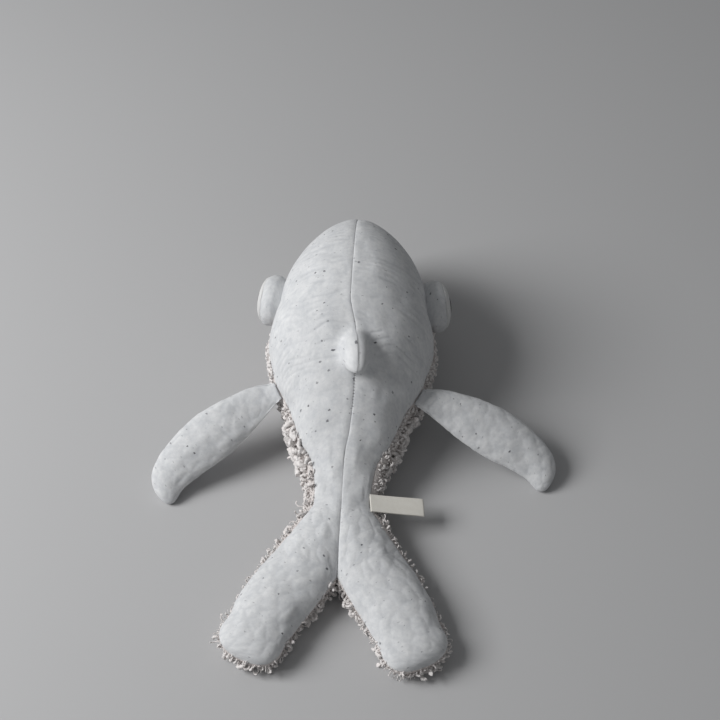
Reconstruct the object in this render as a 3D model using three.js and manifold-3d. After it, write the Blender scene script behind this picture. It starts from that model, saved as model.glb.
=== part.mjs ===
// Plush whale, lying belly down as it is put away on a shelf.
// Millimetres. +X is the whale's right, +Y its nose, +Z up. The origin is the middle of the flat
// patch of belly that the whale rests on.
import * as THREE from 'three';
import Module from 'manifold-3d';

const wasm = await Module();
wasm.setup();
const { Vector3, MathUtils, MeshStandardMaterial } = THREE;
const { degToRad, lerp, clamp, smoothstep } = MathUtils;

// Cloth and fit
const jersey = 1.6;            // quilted jersey, the smooth outer cloth
const fleeceBacking = 1.6;     // knitted back of the curly fleece
const pile = 3;                // curls standing on that backing, pressed together
const clearance = 0.3;         // left between pieces that are sewn or stuffed together
const restCut = 0.5;           // how far the belly, flukes and flippers flatten where they rest

// Trunk and head
const noseReach = 186;         // from the origin forward to the nose
const headStart = 60;          // from the origin forward to where the head begins to round off
const waistReach = 155;        // from the origin back to the waist, where the tail bends
const trunkHalfWidth = 87.3;   // at the widest place
const trunkHeight = 165;       // top of the back above the floor
const noseHeight = 68;
const seamDrift = 8;           // the centre seam is pulled this far to the right beside the fin

// Tail, measured back from the waist
const tailLength = 162;
const flukeReach = 85;         // middle of a fluke's tip, sideways from the centre seam
const waistBendDegrees = 35;   // the waist is shaped so that the tail can bend this far

// Flippers
const flipperLength = 163;
const flipperHalfWidth = 27.5;
const flipperHalfThickness = 12.5;
const flipperRootFront = 24;   // the root seam's front end, back from the origin
const flipperRootLength = 21;
const flipperSweepDegrees = { left: 41, right: 24 };   // each lies as it fell
const flipperRollDegrees = 20; // its front edge is turned up this far
const steepestDroopDegrees = 60;
const knuckleShare = 0.95;     // of the root's half thickness, rounded over behind the root seam

// Dorsal fin
const finLength = 40;
const finWidth = 32;
const finHeight = 30;
const finMiddle = 31;          // back from the origin, along the floor
const finSweepShare = 0.36;    // how far the tip is swept back, as a share of the length

// Eyes
const eyeRadius = 27;
const eyeDepth = 23;
const eyeForward = 80;         // from the origin forward to the eye's middle
const eyeSeatDegrees = 89;     // down from the top of the head
const eyeRimShare = 0.72;      // of the eye's depth, where the cup is sewn to the face
const eyeFaceShare = 0.87;     // radius of the face as a share of the cup's
const pupilRadius = 9;
const pupilThickness = 1.2;

// Label: a tape folded once, with both ends caught in the right side seam
const labelLength = 52;
const labelWidth = 20;
const labelTape = 0.5;
const labelFront = 142;        // its front edge, back from the origin
const labelDroopDegrees = 15;

// Facets
const trunkSteps = 12;
const headSteps = 7;
const backColumns = 6;
const bellyColumns = 8;
const tailColumns = 6;
const flipperColumns = 5;
const finColumns = 5;
const eyeSegments = 12;
const waistRows = 3;
const bendSegments = 44;
const labelFoldSegments = 4;
const droopSteps = 30;
const weldShare = 0.0005;      // corners closer than this share of the clearance are one corner

// Angles round a ring
const fullTurnDegrees = 360;
const halfTurnDegrees = fullTurnDegrees / 2;
const quarterTurnDegrees = fullTurnDegrees / 4;

// Shapes of the trunk. Every table runs from the waist to where the head begins.
const stationShares = [0, 0.07, 0.186, 0.302, 0.442, 0.628, 0.814, 1];
const widthShares = [0.401, 0.41, 0.448, 0.575, 0.699, 0.911, 1, 0.938];
const backShares = [0.279, 0.291, 0.364, 0.473, 0.63, 0.83, 0.958, 1];
const beltShares = [0.145, 0.152, 0.176, 0.218, 0.285, 0.376, 0.436, 0.4545];
const bellyLiftShares = [0.006, 0.009, 0.009, 0.004, 0, 0, 0, 0];
const sideSeamDegrees = [57, 55, 58, 68, 78, 86, 90, 90];
const seamDriftShares = [0, 0, 0, 0.6, 0.94, 1, 0, 0];
const headWidthPowers = [1.85, 1 / 1.35];
const headHeightPowers = [2.2, 1 / 2];
const bellyFullness = 2.4;
const noseEndShare = 0.9995;
const pilePower = 4;           // how late the curls thin out towards the nose and the tips

// Shapes of a fluke, from the waist to its tip
const flukeStationShares = [0, 0.182, 0.358, 0.527, 0.691, 0.836, 1];
const flukeSpreadShares = [0, 0.172, 0.344, 0.552, 0.736, 0.871, 1];
const flukeWidthShares = [1, 0.985, 1.03, 1.02, 0.98, 0.93, 0.93];
const flukeBackShares = [1, 0.98, 0.93, 0.87, 0.82, 0.74, 0.7];
const flukeBeltShares = [1, 0.96, 0.92, 0.88, 0.83, 0.79, 0.76];
const flukeLiftShares = [1, 0.5, 0, 0, 0, 0, 0];
const flukeTurnDegrees = [0, 10, 18, 25, 25, 24, 24];
const flukeSeamDegrees = [57, 64, 75, 85, 90, 90, 90];
const flukeTipShare = 0.836;
const flukeTipShares = [0.45, 0.75, 0.93, 0.9999];
const tipPowers = [2.8, 1 / 2.6];

// Shapes of a flipper, from its root seam to its tip
const flipperStationShares = [0, 0.12, 0.22, 0.37, 0.5, 0.6, 0.7, 0.8, 0.88, 1];
const flipperWidthShares = [0.38, 0.64, 0.77, 0.94, 1, 0.98, 0.9, 0.82, 0.75, 0.7];
const flipperBowShares = [0, 0.2, 0.28, 0.36, 0.42, 0.45, 0.47, 0.44, 0.34, 0];
const flipperThicknessShares = [0, 0.42, 0.68, 0.94, 1, 1, 0.95, 0.88, 0.82, 0.75];
const flipperTipShare = 0.88;
const flipperTipShares = [0.55, 0.86, 0.9999];
const undersideDegrees = [180, 210, 240];  // where a flipper may touch the floor first

// Shapes of the fin, from just under the back's surface to its tip
const finStationShares = [-0.3, 0, 0.35, 0.65, 0.86, 0.97];
const finPowers = [2.2, 1 / 2];

// Shapes of an eye: the cup's radius and height, then the rows of the face, filling and pupil
const cupShares = [[0.74, -0.28], [0.91, 0.06], [1, 0.32], [0.965, 0.55]];
const faceRowShares = [0, 0.45, 0.8, 1];
const eyeFillingRowShares = [0.9, 0.5, 0];
const pupilRowShares = [0, 0.6, 1];

// A smooth curve through a table of values that never overshoots them
function curveThrough(stations, values) {
  const steps = values.slice(1).map((value, i) => (value - values[i]) / (stations[i + 1] - stations[i]));
  const slopes = values.map((_, i) => {
    if (i === 0) return steps[0];
    if (i === values.length - 1) return steps[i - 1];
    const product = steps[i - 1] * steps[i];
    return product <= 0 ? 0 : (2 * product) / (steps[i - 1] + steps[i]);
  });
  return (place) => {
    const at = clamp(place, stations[0], stations[stations.length - 1]);
    let i = 0;
    while (i < stations.length - 2 && at > stations[i + 1]) i += 1;
    const span = stations[i + 1] - stations[i];
    const t = (at - stations[i]) / span;
    const rise = values[i + 1] - values[i];
    const bend = (slopes[i] + slopes[i + 1]) * span - 2 * rise;
    const sag = 3 * rise - (2 * slopes[i] + slopes[i + 1]) * span;
    return values[i] + t * (slopes[i] * span + t * (sag + t * bend));
  };
}

const widthCurve = curveThrough(stationShares, widthShares);
const backCurve = curveThrough(stationShares, backShares);
const beltCurve = curveThrough(stationShares, beltShares);
const bellyLiftCurve = curveThrough(stationShares, bellyLiftShares);
const sideSeamCurve = curveThrough(stationShares, sideSeamDegrees);
const seamDriftCurve = curveThrough(stationShares, seamDriftShares);
const flukeSpreadCurve = curveThrough(flukeStationShares, flukeSpreadShares);
const flukeWidthCurve = curveThrough(flukeStationShares, flukeWidthShares);
const flukeBackCurve = curveThrough(flukeStationShares, flukeBackShares);
const flukeBeltCurve = curveThrough(flukeStationShares, flukeBeltShares);
const flukeLiftCurve = curveThrough(flukeStationShares, flukeLiftShares);
const flukeTurnCurve = curveThrough(flukeStationShares, flukeTurnDegrees);
const flukeSeamCurve = curveThrough(flukeStationShares, flukeSeamDegrees);
const flipperWidthCurve = curveThrough(flipperStationShares, flipperWidthShares);
const flipperBowCurve = curveThrough(flipperStationShares, flipperBowShares);
const flipperThicknessCurve = curveThrough(flipperStationShares, flipperThicknessShares);

// How much is left of a width where a form rounds off: 1 at share 0, nothing at share 1
const roundOff = (share, [power, root]) => (1 - clamp(share, 0, 1) ** power) ** root;

// The whale is cut through by rings. A ring is a centre, two directions across it, and how far
// the form reaches from the centre sideways, up and down. An inset ring lies inside the cloth.
function makeRing(centre, across, up, halfWidth, rise, drop, fullness = 2) {
  return { centre, across, up, halfWidth, rise, drop, fullness };
}

// A point of a ring: 0 degrees is its top, 90 its outer or right side, 180 its bottom
function ringPoint(ring, degrees) {
  const angle = degToRad(degrees);
  const sine = Math.sin(angle);
  const cosine = Math.cos(angle);
  const power = cosine < 0 ? 2 / ring.fullness : 1;
  const sideways = ring.halfWidth * Math.sign(sine) * Math.abs(sine) ** power;
  const upward = (cosine < 0 ? -ring.drop : ring.rise) * Math.abs(cosine) ** power;
  return ring.centre.clone().addScaledVector(ring.across, sideways).addScaledVector(ring.up, upward);
}

// Where a ring is cut under the whale, from one side seam at share 0 to the other at share 1
const underDegrees = (seam, share) => lerp(seam, fullTurnDegrees - seam, share);

// Half of the sewing gap, as an angle on a ring
const halfGapDegrees = (ring) => MathUtils.radToDeg(clearance / 2 / Math.min(ring.halfWidth, ring.rise));

const trunkLength = waistReach + headStart;
const trunkShare = (y) => (y + waistReach) / trunkLength;
const forwardX = new Vector3(1, 0, 0);
const upwardZ = new Vector3(0, 0, 1);

function bodyRing(y, inset = 0) {
  const share = trunkShare(Math.min(y, headStart));
  const round = clamp((y - headStart) / (noseReach - headStart), 0, 1);
  const belt = trunkHeight * beltCurve(share);
  const bottom = pile - restCut + trunkHeight * bellyLiftCurve(share);
  const wide = roundOff(round, headWidthPowers);
  const tall = roundOff(round, headHeightPowers);
  const centre = new Vector3(0, y - inset * round, lerp(belt, noseHeight, round * round));
  return makeRing(
    centre, forwardX, upwardZ,
    (trunkHalfWidth * widthCurve(share) - inset) * wide,
    (trunkHeight * backCurve(share) - belt - inset) * tall,
    (belt - bottom - inset) * tall,
    bellyFullness,
  );
}

const sideSeamAt = (y) => sideSeamCurve(trunkShare(y));
const centreSeamAt = (y) => {
  const ring = bodyRing(y);
  return MathUtils.radToDeg(Math.asin((seamDrift * seamDriftCurve(trunkShare(y))) / ring.halfWidth || 0));
};

const waistRing = bodyRing(-waistReach);
const waistBack = trunkHeight * backShares[0];
const waistBelt = trunkHeight * beltShares[0];
const waistLift = trunkHeight * bellyLiftShares[0];
const bendRadius = Math.max(waistBelt, waistBack - waistBelt) / Math.cos(degToRad(waistBendDegrees));

// side is 1 on the right and -1 on the left; behind is the distance back from the waist
function tailRing(side, behind, inset = 0) {
  if (behind <= 0) {
    const ring = bodyRing(-waistReach - behind, inset);
    return { ...ring, across: new Vector3(side, 0, 0) };
  }
  const share = behind / tailLength;
  const round = clamp((share - flukeTipShare) / (1 - flukeTipShare), 0, 1);
  const reach = share - (inset / tailLength) * round;
  const turn = degToRad(flukeTurnCurve(reach));
  const belt = waistBelt * flukeBeltCurve(reach);
  const bottom = pile - restCut + waistLift * flukeLiftCurve(reach);
  const left = roundOff(round, tipPowers);
  return makeRing(
    new Vector3(side * flukeReach * flukeSpreadCurve(reach), -waistReach - tailLength * reach, belt),
    new Vector3(side * Math.cos(turn), Math.sin(turn), 0), upwardZ,
    (waistRing.halfWidth * flukeWidthCurve(reach) - inset) * left,
    (waistBack * flukeBackCurve(reach) - belt - inset) * left,
    (belt - bottom - inset) * left,
    bellyFullness,
  );
}

// Closed meshes. Each is a list of points and of triangles, turned so that its faces point out.
function closedMesh(points, triangles) {
  const volume = triangles.reduce((sum, [a, b, c]) => (
    sum + points[a].dot(new Vector3().crossVectors(points[b], points[c]))), 0);
  const outward = volume > 0 ? triangles : triangles.map(([a, b, c]) => [a, c, b]);
  return new wasm.Manifold(new wasm.Mesh({
    numProp: 3,
    vertProperties: new Float32Array(points.flatMap((point) => point.toArray())),
    triVerts: new Uint32Array(outward.flat()),
  }));
}

const quad = (a, b, c, d) => [[a, b, c], [a, c, d]];

// A piece of cloth between an outer and an inner grid of points
function clothBetween(outer, inner) {
  const rows = outer.length;
  const columns = outer[0].length;
  const points = [...outer.flat(), ...inner.flat()];
  const skin = (i, j) => i * columns + j;
  const lining = (i, j) => rows * columns + skin(i, j);
  const triangles = [];
  for (let i = 0; i < rows - 1; i += 1) {
    for (let j = 0; j < columns - 1; j += 1) {
      triangles.push(...quad(skin(i, j), skin(i, j + 1), skin(i + 1, j + 1), skin(i + 1, j)));
      const back = quad(lining(i, j), lining(i, j + 1), lining(i + 1, j + 1), lining(i + 1, j));
      triangles.push(...back.map(([a, b, c]) => [a, c, b]));
    }
    const last = columns - 1;
    triangles.push(...quad(skin(i, 0), skin(i + 1, 0), lining(i + 1, 0), lining(i, 0)));
    triangles.push(...quad(skin(i, last), lining(i, last), lining(i + 1, last), skin(i + 1, last)));
  }
  for (let j = 0; j < columns - 1; j += 1) {
    const end = rows - 1;
    triangles.push(...quad(skin(0, j), lining(0, j), lining(0, j + 1), skin(0, j + 1)));
    triangles.push(...quad(skin(end, j), skin(end, j + 1), lining(end, j + 1), lining(end, j)));
  }
  return closedMesh(points, triangles);
}

// A stuffed form through closed rings of points, with a flat face at each end
function stuffedThrough(rings) {
  const columns = rings[0].length;
  const points = rings.flat();
  const triangles = [];
  for (let i = 0; i < rings.length - 1; i += 1) {
    for (let j = 0; j < columns; j += 1) {
      const next = (j + 1) % columns;
      const row = i * columns;
      triangles.push(...quad(row + j, row + next, row + columns + next, row + columns + j));
    }
  }
  const middleOf = (ring) => (
    ring.reduce((sum, point) => sum.add(point), new Vector3()).divideScalar(ring.length));
  const first = points.push(middleOf(rings[0])) - 1;
  const last = points.push(middleOf(rings[rings.length - 1])) - 1;
  const end = (rings.length - 1) * columns;
  for (let j = 0; j < columns; j += 1) {
    const next = (j + 1) % columns;
    triangles.push([first, next, j], [last, end + j, end + next]);
  }
  return closedMesh(points, triangles);
}

// A three.js geometry, moved to its place, as a solid that can cut or be cut
function solidOf(geometry, matrix = new THREE.Matrix4()) {
  const place = geometry.getAttribute('position');
  const keys = new Map();
  const points = [];
  const corner = (i) => {
    const point = new Vector3().fromBufferAttribute(place, i);
    const key = point.toArray().map((value) => Math.round(value / (weldShare * clearance))).join();
    if (!keys.has(key)) keys.set(key, points.push(point) - 1);
    return keys.get(key);
  };
  const count = geometry.index ? geometry.index.count : place.count;
  const triangles = [];
  for (let i = 0; i < count; i += 3) {
    const triangle = [0, 1, 2].map((k) => corner(geometry.index ? geometry.index.getX(i + k) : i + k));
    if (new Set(triangle).size === 3) triangles.push(triangle);
  }
  return closedMesh(points.map((point) => point.applyMatrix4(matrix)), triangles);
}

const spread = (from, to, steps) => Array.from({ length: steps + 1 }, (_, i) => lerp(from, to, i / steps));

// Places of the trunk's rings, closer together where the head rounds off to the nose
const trunkPlaces = spread(-waistReach, headStart, trunkSteps);
const headPlaces = spread(0, 1, headSteps).slice(1).map((share) => (
  lerp(headStart, noseReach, Math.min(Math.sin((share * Math.PI) / 2), noseEndShare))));
const bodyPlaces = [...trunkPlaces, ...headPlaces];

// The curls stand full height except at a seam and at the nose, where they are caught
const bodyPile = (y, share) => {
  const noseShare = clamp((y - headStart) / (noseReach - headStart), 0, 1);
  return share <= 0 || share >= 1 ? 0 : pile * (1 - noseShare ** pilePower);
};

function backPanel(side) {
  const grid = (inset) => bodyPlaces.map((y) => {
    const ring = bodyRing(y, inset);
    const gap = halfGapDegrees(ring);
    const ends = [centreSeamAt(y) + side * gap, side * (sideSeamAt(y) - gap)];
    const [from, to] = side > 0 ? ends : ends.reverse();
    return spread(from, to, backColumns).map((degrees) => ringPoint(ring, degrees));
  });
  return clothBetween(grid(0), grid(jersey));
}

function bellyPanel() {
  const grid = (inset, curls) => bodyPlaces.map((y) => spread(0, 1, bellyColumns).map((share) => {
    const ring = bodyRing(y, inset - (curls ? bodyPile(y, share) : 0));
    const seam = sideSeamAt(y) + halfGapDegrees(ring);
    return ringPoint(ring, underDegrees(seam, share));
  }));
  return clothBetween(grid(0, true), grid(fleeceBacking, false));
}

// The whole trunk and head at an inset, with the same columns as its cloth
function bodyForm(inset, curls = false) {
  return stuffedThrough(bodyPlaces.map((y) => {
    const seam = sideSeamAt(y);
    const crown = centreSeamAt(y);
    const ring = bodyRing(y, inset);
    const left = spread(-seam, crown, backColumns).map((degrees) => ringPoint(ring, degrees));
    const right = spread(crown, seam, backColumns).slice(1).map((degrees) => ringPoint(ring, degrees));
    const belly = spread(0, 1, bellyColumns).slice(1, -1).map((share) => (
      ringPoint(bodyRing(y, inset - (curls ? bodyPile(y, share) : 0)), underDegrees(seam, share))));
    return [...left, ...right, ...belly];
  }));
}

// The room that the finished body takes up, kept clear by what is sewn onto it
const bodyRoom = bodyForm(-clearance, true);

// The floor, and the round joint between trunk and tail
const overrun = 40;
const cutWidth = 2 * (flukeReach + trunkHalfWidth + overrun);
const cutReach = waistReach + tailLength + noseReach;
const box = (from, to) => solidOf(
  new THREE.BoxGeometry(...to.clone().sub(from).toArray()),
  new THREE.Matrix4().setPosition(from.clone().add(to).divideScalar(2)),
);
const floor = box(new Vector3(-cutWidth, -cutReach, -overrun), new Vector3(cutWidth, cutReach, 0));
const bendCylinder = (radius) => solidOf(
  new THREE.CylinderGeometry(radius, radius, 2 * cutWidth, bendSegments),
  new THREE.Matrix4().makeRotationZ(Math.PI / 2).setPosition(0, -waistReach, waistBelt),
);
const bendSocket = bendCylinder(bendRadius + clearance);
const aheadOfBend = box(
  new Vector3(-cutWidth, -waistReach, -overrun), new Vector3(cutWidth, cutReach, trunkHeight + overrun),
).subtract(bendCylinder(bendRadius));

const ofBody = (solid) => solid.subtract(bendSocket);
const onFloor = (solid) => solid.subtract(floor);

// Tail and flukes: two lobes that share the waist and are cut along the centre seam
const tailPlaces = [
  ...spread(-bendRadius - clearance, 0, waistRows),
  ...flukeStationShares.slice(1, -1).map((share) => share * tailLength),
  ...flukeTipShares.map((place) => lerp(flukeTipShare, 1, place) * tailLength),
];
const flukeSeamAt = (behind) => (
  behind > 0 ? flukeSeamCurve(behind / tailLength) : sideSeamAt(-waistReach - behind));
const tailPile = (behind, share) => {
  const tipShare = clamp((behind / tailLength - flukeTipShare) / (1 - flukeTipShare), 0, 1);
  return share <= 0 || share >= 1 ? 0 : pile * (1 - tipShare ** pilePower);
};

function ownHalf(side) {
  const near = (side * clearance) / 2;
  const [from, to] = side > 0 ? [near, cutWidth] : [-cutWidth, near];
  return box(new Vector3(from, -cutReach, -overrun), new Vector3(to, cutReach, trunkHeight));
}

const ofTail = (solid, side) => solid.subtract(aheadOfBend).intersect(ownHalf(side));

function tailPanel(side) {
  const grid = (inset) => tailPlaces.map((behind) => {
    const ring = tailRing(side, behind, inset);
    const seam = flukeSeamAt(behind) - halfGapDegrees(ring);
    return spread(-seam, seam, tailColumns).map((degrees) => ringPoint(ring, degrees));
  });
  return ofTail(clothBetween(grid(0), grid(jersey)), side);
}

function tailUnderside(side) {
  const grid = (inset, curls) => tailPlaces.map((behind) => spread(0, 1, tailColumns).map((share) => {
    const ring = tailRing(side, behind, inset - (curls ? tailPile(behind, share) : 0));
    const seam = flukeSeamAt(behind) + halfGapDegrees(ring);
    return ringPoint(ring, underDegrees(seam, share));
  }));
  return onFloor(ofTail(clothBetween(grid(0, true), grid(fleeceBacking, false)), side));
}

function flukeFilling(side) {
  const rings = tailPlaces.map((behind) => {
    const ring = tailRing(side, behind, jersey + clearance);
    const seam = flukeSeamAt(behind);
    const top = spread(-seam, seam, tailColumns);
    const under = spread(0, 1, tailColumns).slice(1, -1).map((share) => underDegrees(seam, share));
    return [...top, ...under].map((degrees) => ringPoint(ring, degrees));
  });
  return ofTail(stuffedThrough(rings), side);
}

// Flippers: thin where they are sewn into the side seam, then a stuffed paddle
const rootHalfThickness = jersey + clearance / 2;
const sideSeamPoint = (side, y) => ringPoint(bodyRing(y), side * sideSeamAt(y));

// Where a flipper hangs: the middle of its root seam, the seam's direction towards the nose,
// and the direction straight away from the body
function flipperRoot(side) {
  const front = sideSeamPoint(side, -flipperRootFront);
  const rear = sideSeamPoint(side, -flipperRootFront - flipperRootLength);
  const along = front.clone().sub(rear).normalize();
  const away = new Vector3().crossVectors(along, upwardZ).multiplyScalar(side).normalize();
  const middle = front.add(rear).divideScalar(2).addScaledVector(away, rootHalfThickness + 2 * clearance);
  return { middle, along };
}

function flipperRing(side, droop, share, inset = 0) {
  const root = flipperRoot(side);
  const sweep = degToRad(side > 0 ? flipperSweepDegrees.right : flipperSweepDegrees.left);
  const level = new Vector3(side * Math.cos(sweep), -Math.sin(sweep), 0);
  const spine = level.clone().multiplyScalar(Math.cos(droop)).addScaledVector(upwardZ, -Math.sin(droop));
  const flat = new Vector3(side * Math.sin(sweep), Math.cos(sweep), 0);
  const square = flat.applyAxisAngle(spine, side * degToRad(flipperRollDegrees));
  const turned = smoothstep(share, 0, flipperStationShares[2]);
  const forward = root.along.clone().lerp(square, turned).normalize();
  const up = new Vector3().crossVectors(spine, forward).multiplyScalar(side).normalize();
  const round = clamp((share - flipperTipShare) / (1 - flipperTipShare), 0, 1);
  const left = roundOff(round, tipPowers);
  const along = share * flipperLength - inset * round;
  const thickness = flipperHalfThickness * flipperThicknessCurve(share);
  const centre = root.middle.clone()
    .addScaledVector(spine, along)
    .addScaledVector(square, flipperHalfWidth * flipperBowCurve(share));
  const rounded = Math.sqrt(1 - (Math.min(along, 0) / rootHalfThickness) ** 2);
  const half = Math.max(thickness, rootHalfThickness * rounded) - inset;
  return makeRing(
    centre, forward, up,
    (flipperHalfWidth * flipperWidthCurve(share) - inset) * left, half * left, half * left,
  );
}

const flipperPlaces = [
  (-knuckleShare * rootHalfThickness) / flipperLength,
  ...flipperStationShares.slice(0, -1),
  ...flipperTipShares.map((place) => lerp(flipperTipShare, 1, place)),
];

// The flipper droops until its underside touches the floor
function flipperDroop(side) {
  let [high, low] = [0, degToRad(steepestDroopDegrees)];
  const lowest = (droop) => Math.min(...flipperPlaces.slice(2).flatMap((share) => (
    undersideDegrees.map((degrees) => ringPoint(flipperRing(side, droop, share), degrees).z))));
  for (let i = 0; i < droopSteps; i += 1) {
    const middle = (high + low) / 2;
    if (lowest(middle) > -restCut) high = middle; else low = middle;
  }
  return high;
}

// One face of a flipper: facing is 1 for the upper and -1 for the lower
function flipperPanel(side, facing) {
  const droop = flipperDroop(side);
  const grid = (inset) => flipperPlaces.map((share) => {
    const ring = flipperRing(side, droop, share, inset);
    const start = -facing * quarterTurnDegrees;
    return spread(start, start + halfTurnDegrees, flipperColumns).map((degrees) => {
      const lift = Math.max(ring.rise * Math.abs(Math.cos(degToRad(degrees))), clearance / 2);
      return ring.centre.clone()
        .addScaledVector(ring.across, ring.halfWidth * Math.sin(degToRad(degrees)))
        .addScaledVector(ring.up, facing * lift);
    });
  });
  return clothBetween(grid(0), grid(jersey));
}

function flipperFilling(side) {
  const droop = flipperDroop(side);
  const rings = flipperPlaces.slice(2).map((share) => {
    const ring = flipperRing(side, droop, share, jersey + clearance);
    const round = spread(-quarterTurnDegrees, fullTurnDegrees - quarterTurnDegrees, 2 * flipperColumns);
    return round.slice(0, -1).map((degrees) => ringPoint(ring, degrees));
  });
  return stuffedThrough(rings);
}

// Dorsal fin: a small stuffed cone on the centre seam, swept back
function surfaceFrame(y, degrees) {
  const step = clearance;
  const at = ringPoint(bodyRing(y), degrees);
  const ahead = ringPoint(bodyRing(y + step), degrees).sub(at).normalize();
  const round = ringPoint(bodyRing(y), degrees + 1).sub(at).normalize();
  const outward = new Vector3().crossVectors(round, ahead).normalize();
  return { at, ahead, outward, across: new Vector3().crossVectors(ahead, outward).normalize() };
}

function finRings(inset) {
  const { at, ahead, outward, across } = surfaceFrame(-finMiddle, centreSeamAt(-finMiddle));
  return finStationShares.map((share) => {
    const left = roundOff(Math.max(share, 0), finPowers);
    const lift = share > 0 ? share * (finHeight - inset) : share * finHeight;
    const risen = Math.max(lift / finHeight, 0);
    const centre = at.clone()
      .addScaledVector(outward, lift)
      .addScaledVector(ahead, -finLength * finSweepShare * risen ** 2);
    return makeRing(centre, across, ahead,
      (finWidth / 2 - inset) * left, (finLength / 2 - inset) * left, (finLength / 2 - inset) * left);
  });
}

function finSide(side) {
  const grid = (inset) => finRings(inset).map((ring) => {
    const gap = halfGapDegrees(ring);
    const round = spread(gap, halfTurnDegrees - gap, finColumns);
    return round.map((degrees) => ringPoint(ring, side * degrees));
  });
  return clothBetween(grid(0), grid(jersey)).subtract(bodyRoom);
}

function finFilling() {
  const rings = finRings(jersey + clearance).slice(0, -1).map((ring) => (
    spread(0, fullTurnDegrees, 2 * finColumns).slice(0, -1).map((degrees) => ringPoint(ring, degrees))));
  return stuffedThrough(rings).subtract(bodyRoom);
}

// Eyes: a stuffed cup of jersey on the side of the head, closed by a domed face with a felt pupil
const faceRadius = eyeFaceShare * eyeRadius;
const rimHeight = eyeRimShare * eyeDepth;
const domeRise = eyeDepth - rimHeight - jersey;
const domeAt = (radius) => rimHeight + jersey + domeRise * (1 - (radius / faceRadius) ** 2);

function eyeMatrix(side) {
  const { at, ahead, outward } = surfaceFrame(eyeForward, side * eyeSeatDegrees);
  const third = new Vector3().crossVectors(ahead, outward).normalize();
  const basis = new THREE.Matrix4().makeBasis(third, outward, new Vector3().crossVectors(third, outward));
  return basis.setPosition(at);
}

const lathe = (side, outline) => solidOf(
  new THREE.LatheGeometry(outline.map(([x, y]) => new THREE.Vector2(x, y)), eyeSegments), eyeMatrix(side));

function eyeBack(side) {
  const rim = [faceRadius, rimHeight - clearance];
  const outer = [...cupShares.map(([r, h]) => [r * eyeRadius, h * eyeDepth]), rim];
  const inner = outer.map(([r, h]) => [r - jersey, h]).reverse();
  return lathe(side, [...outer, ...inner, outer[0]]).subtract(bodyRoom);
}

function eyeFace(side) {
  const radii = faceRowShares.map((row) => row * faceRadius);
  const top = radii.map((radius) => [radius, domeAt(radius)]);
  const under = radii.map((radius) => [radius, domeAt(radius) - jersey]).reverse();
  return lathe(side, [...top, ...under]);
}

function eyeFilling(side) {
  const skin = jersey + clearance;
  const wall = cupShares.map(([r, h]) => [r * eyeRadius - skin, h * eyeDepth]);
  const radii = eyeFillingRowShares.map((row) => row * faceRadius);
  const top = radii.map((radius) => [radius, domeAt(radius) - skin - (radius ? clearance : 0)]);
  return lathe(side, [[0, wall[0][1]], ...wall, ...top]).subtract(bodyRoom);
}

function pupil(side) {
  const radii = pupilRowShares.map((row) => row * pupilRadius);
  const top = radii.map((radius) => [radius, domeAt(radius) + clearance + pupilThickness]);
  const under = radii.map((radius) => [radius, domeAt(radius) + clearance]).reverse();
  return lathe(side, [...top, ...under]);
}

// Label: seen from its edge a hairpin, both ends at the seam and the fold at the far end
const labelHalf = labelTape + clearance / 2;
function labelRoot() {
  const seamAt = (behind) => ringPoint(tailRing(1, behind), flukeSeamAt(behind));
  const front = seamAt(labelFront - waistReach);
  const rear = seamAt(labelFront + labelWidth - waistReach);
  const along = front.clone().sub(rear).normalize();
  const away = new Vector3().crossVectors(along, upwardZ).normalize();
  const middle = front.add(rear).divideScalar(2)
    .addScaledVector(away, labelHalf + clearance).addScaledVector(upwardZ, labelHalf);
  return { middle, along, away };
}

function label() {
  const bar = labelLength - labelHalf;
  const slot = clearance / 2;
  const shape = new THREE.Shape();
  shape.moveTo(0, -labelHalf);
  shape.lineTo(bar, -labelHalf);
  shape.absarc(bar, 0, labelHalf, -Math.PI / 2, Math.PI / 2);
  shape.lineTo(0, labelHalf);
  shape.lineTo(0, slot);
  shape.lineTo(bar, slot);
  shape.lineTo(bar, -slot);
  shape.lineTo(0, -slot);
  const { middle, along, away } = labelRoot();
  const droop = degToRad(labelDroopDegrees);
  const out = away.clone().multiplyScalar(Math.cos(droop)).addScaledVector(upwardZ, -Math.sin(droop));
  const up = new Vector3().crossVectors(along, out).negate();
  const matrix = new THREE.Matrix4().makeBasis(out, up, new Vector3().crossVectors(out, up));
  matrix.setPosition(middle.addScaledVector(new Vector3().crossVectors(out, up), -labelWidth / 2));
  const extrusion = { depth: labelWidth, bevelEnabled: false, curveSegments: labelFoldSegments };
  return solidOf(new THREE.ExtrudeGeometry(shape, extrusion), matrix);
}

// Colours
const cloth = (color, roughness = 0.95) => new MeshStandardMaterial({ color, roughness, metalness: 0 });
const speckledJersey = cloth(0xdcdddd);
const curlyFleece = cloth(0xd3cbc5, 1);
const stuffing = cloth(0xf3f1ec, 1);
const eyeJersey = cloth(0xe9e9e6);
const darkFelt = cloth(0x2b2a2d);
const cottonTape = cloth(0xe9e3d6);

function meshOf(name, solid, material) {
  const { vertProperties, triVerts, numProp } = solid.getMesh();
  const places = new Float32Array((vertProperties.length / numProp) * 3);
  for (let i = 0; i < places.length / 3; i += 1) {
    places.set(vertProperties.subarray(i * numProp, i * numProp + 3), i * 3);
  }
  const geometry = new THREE.BufferGeometry();
  geometry.setAttribute('position', new THREE.BufferAttribute(places, 3));
  geometry.setIndex(new THREE.BufferAttribute(new Uint32Array(triVerts), 1));
  geometry.computeVertexNormals();
  const mesh = new THREE.Mesh(geometry, material);
  mesh.name = name;
  return mesh;
}

const whale = new THREE.Group();
const add = (name, solid, material) => whale.add(meshOf(name, solid, material));

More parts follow.
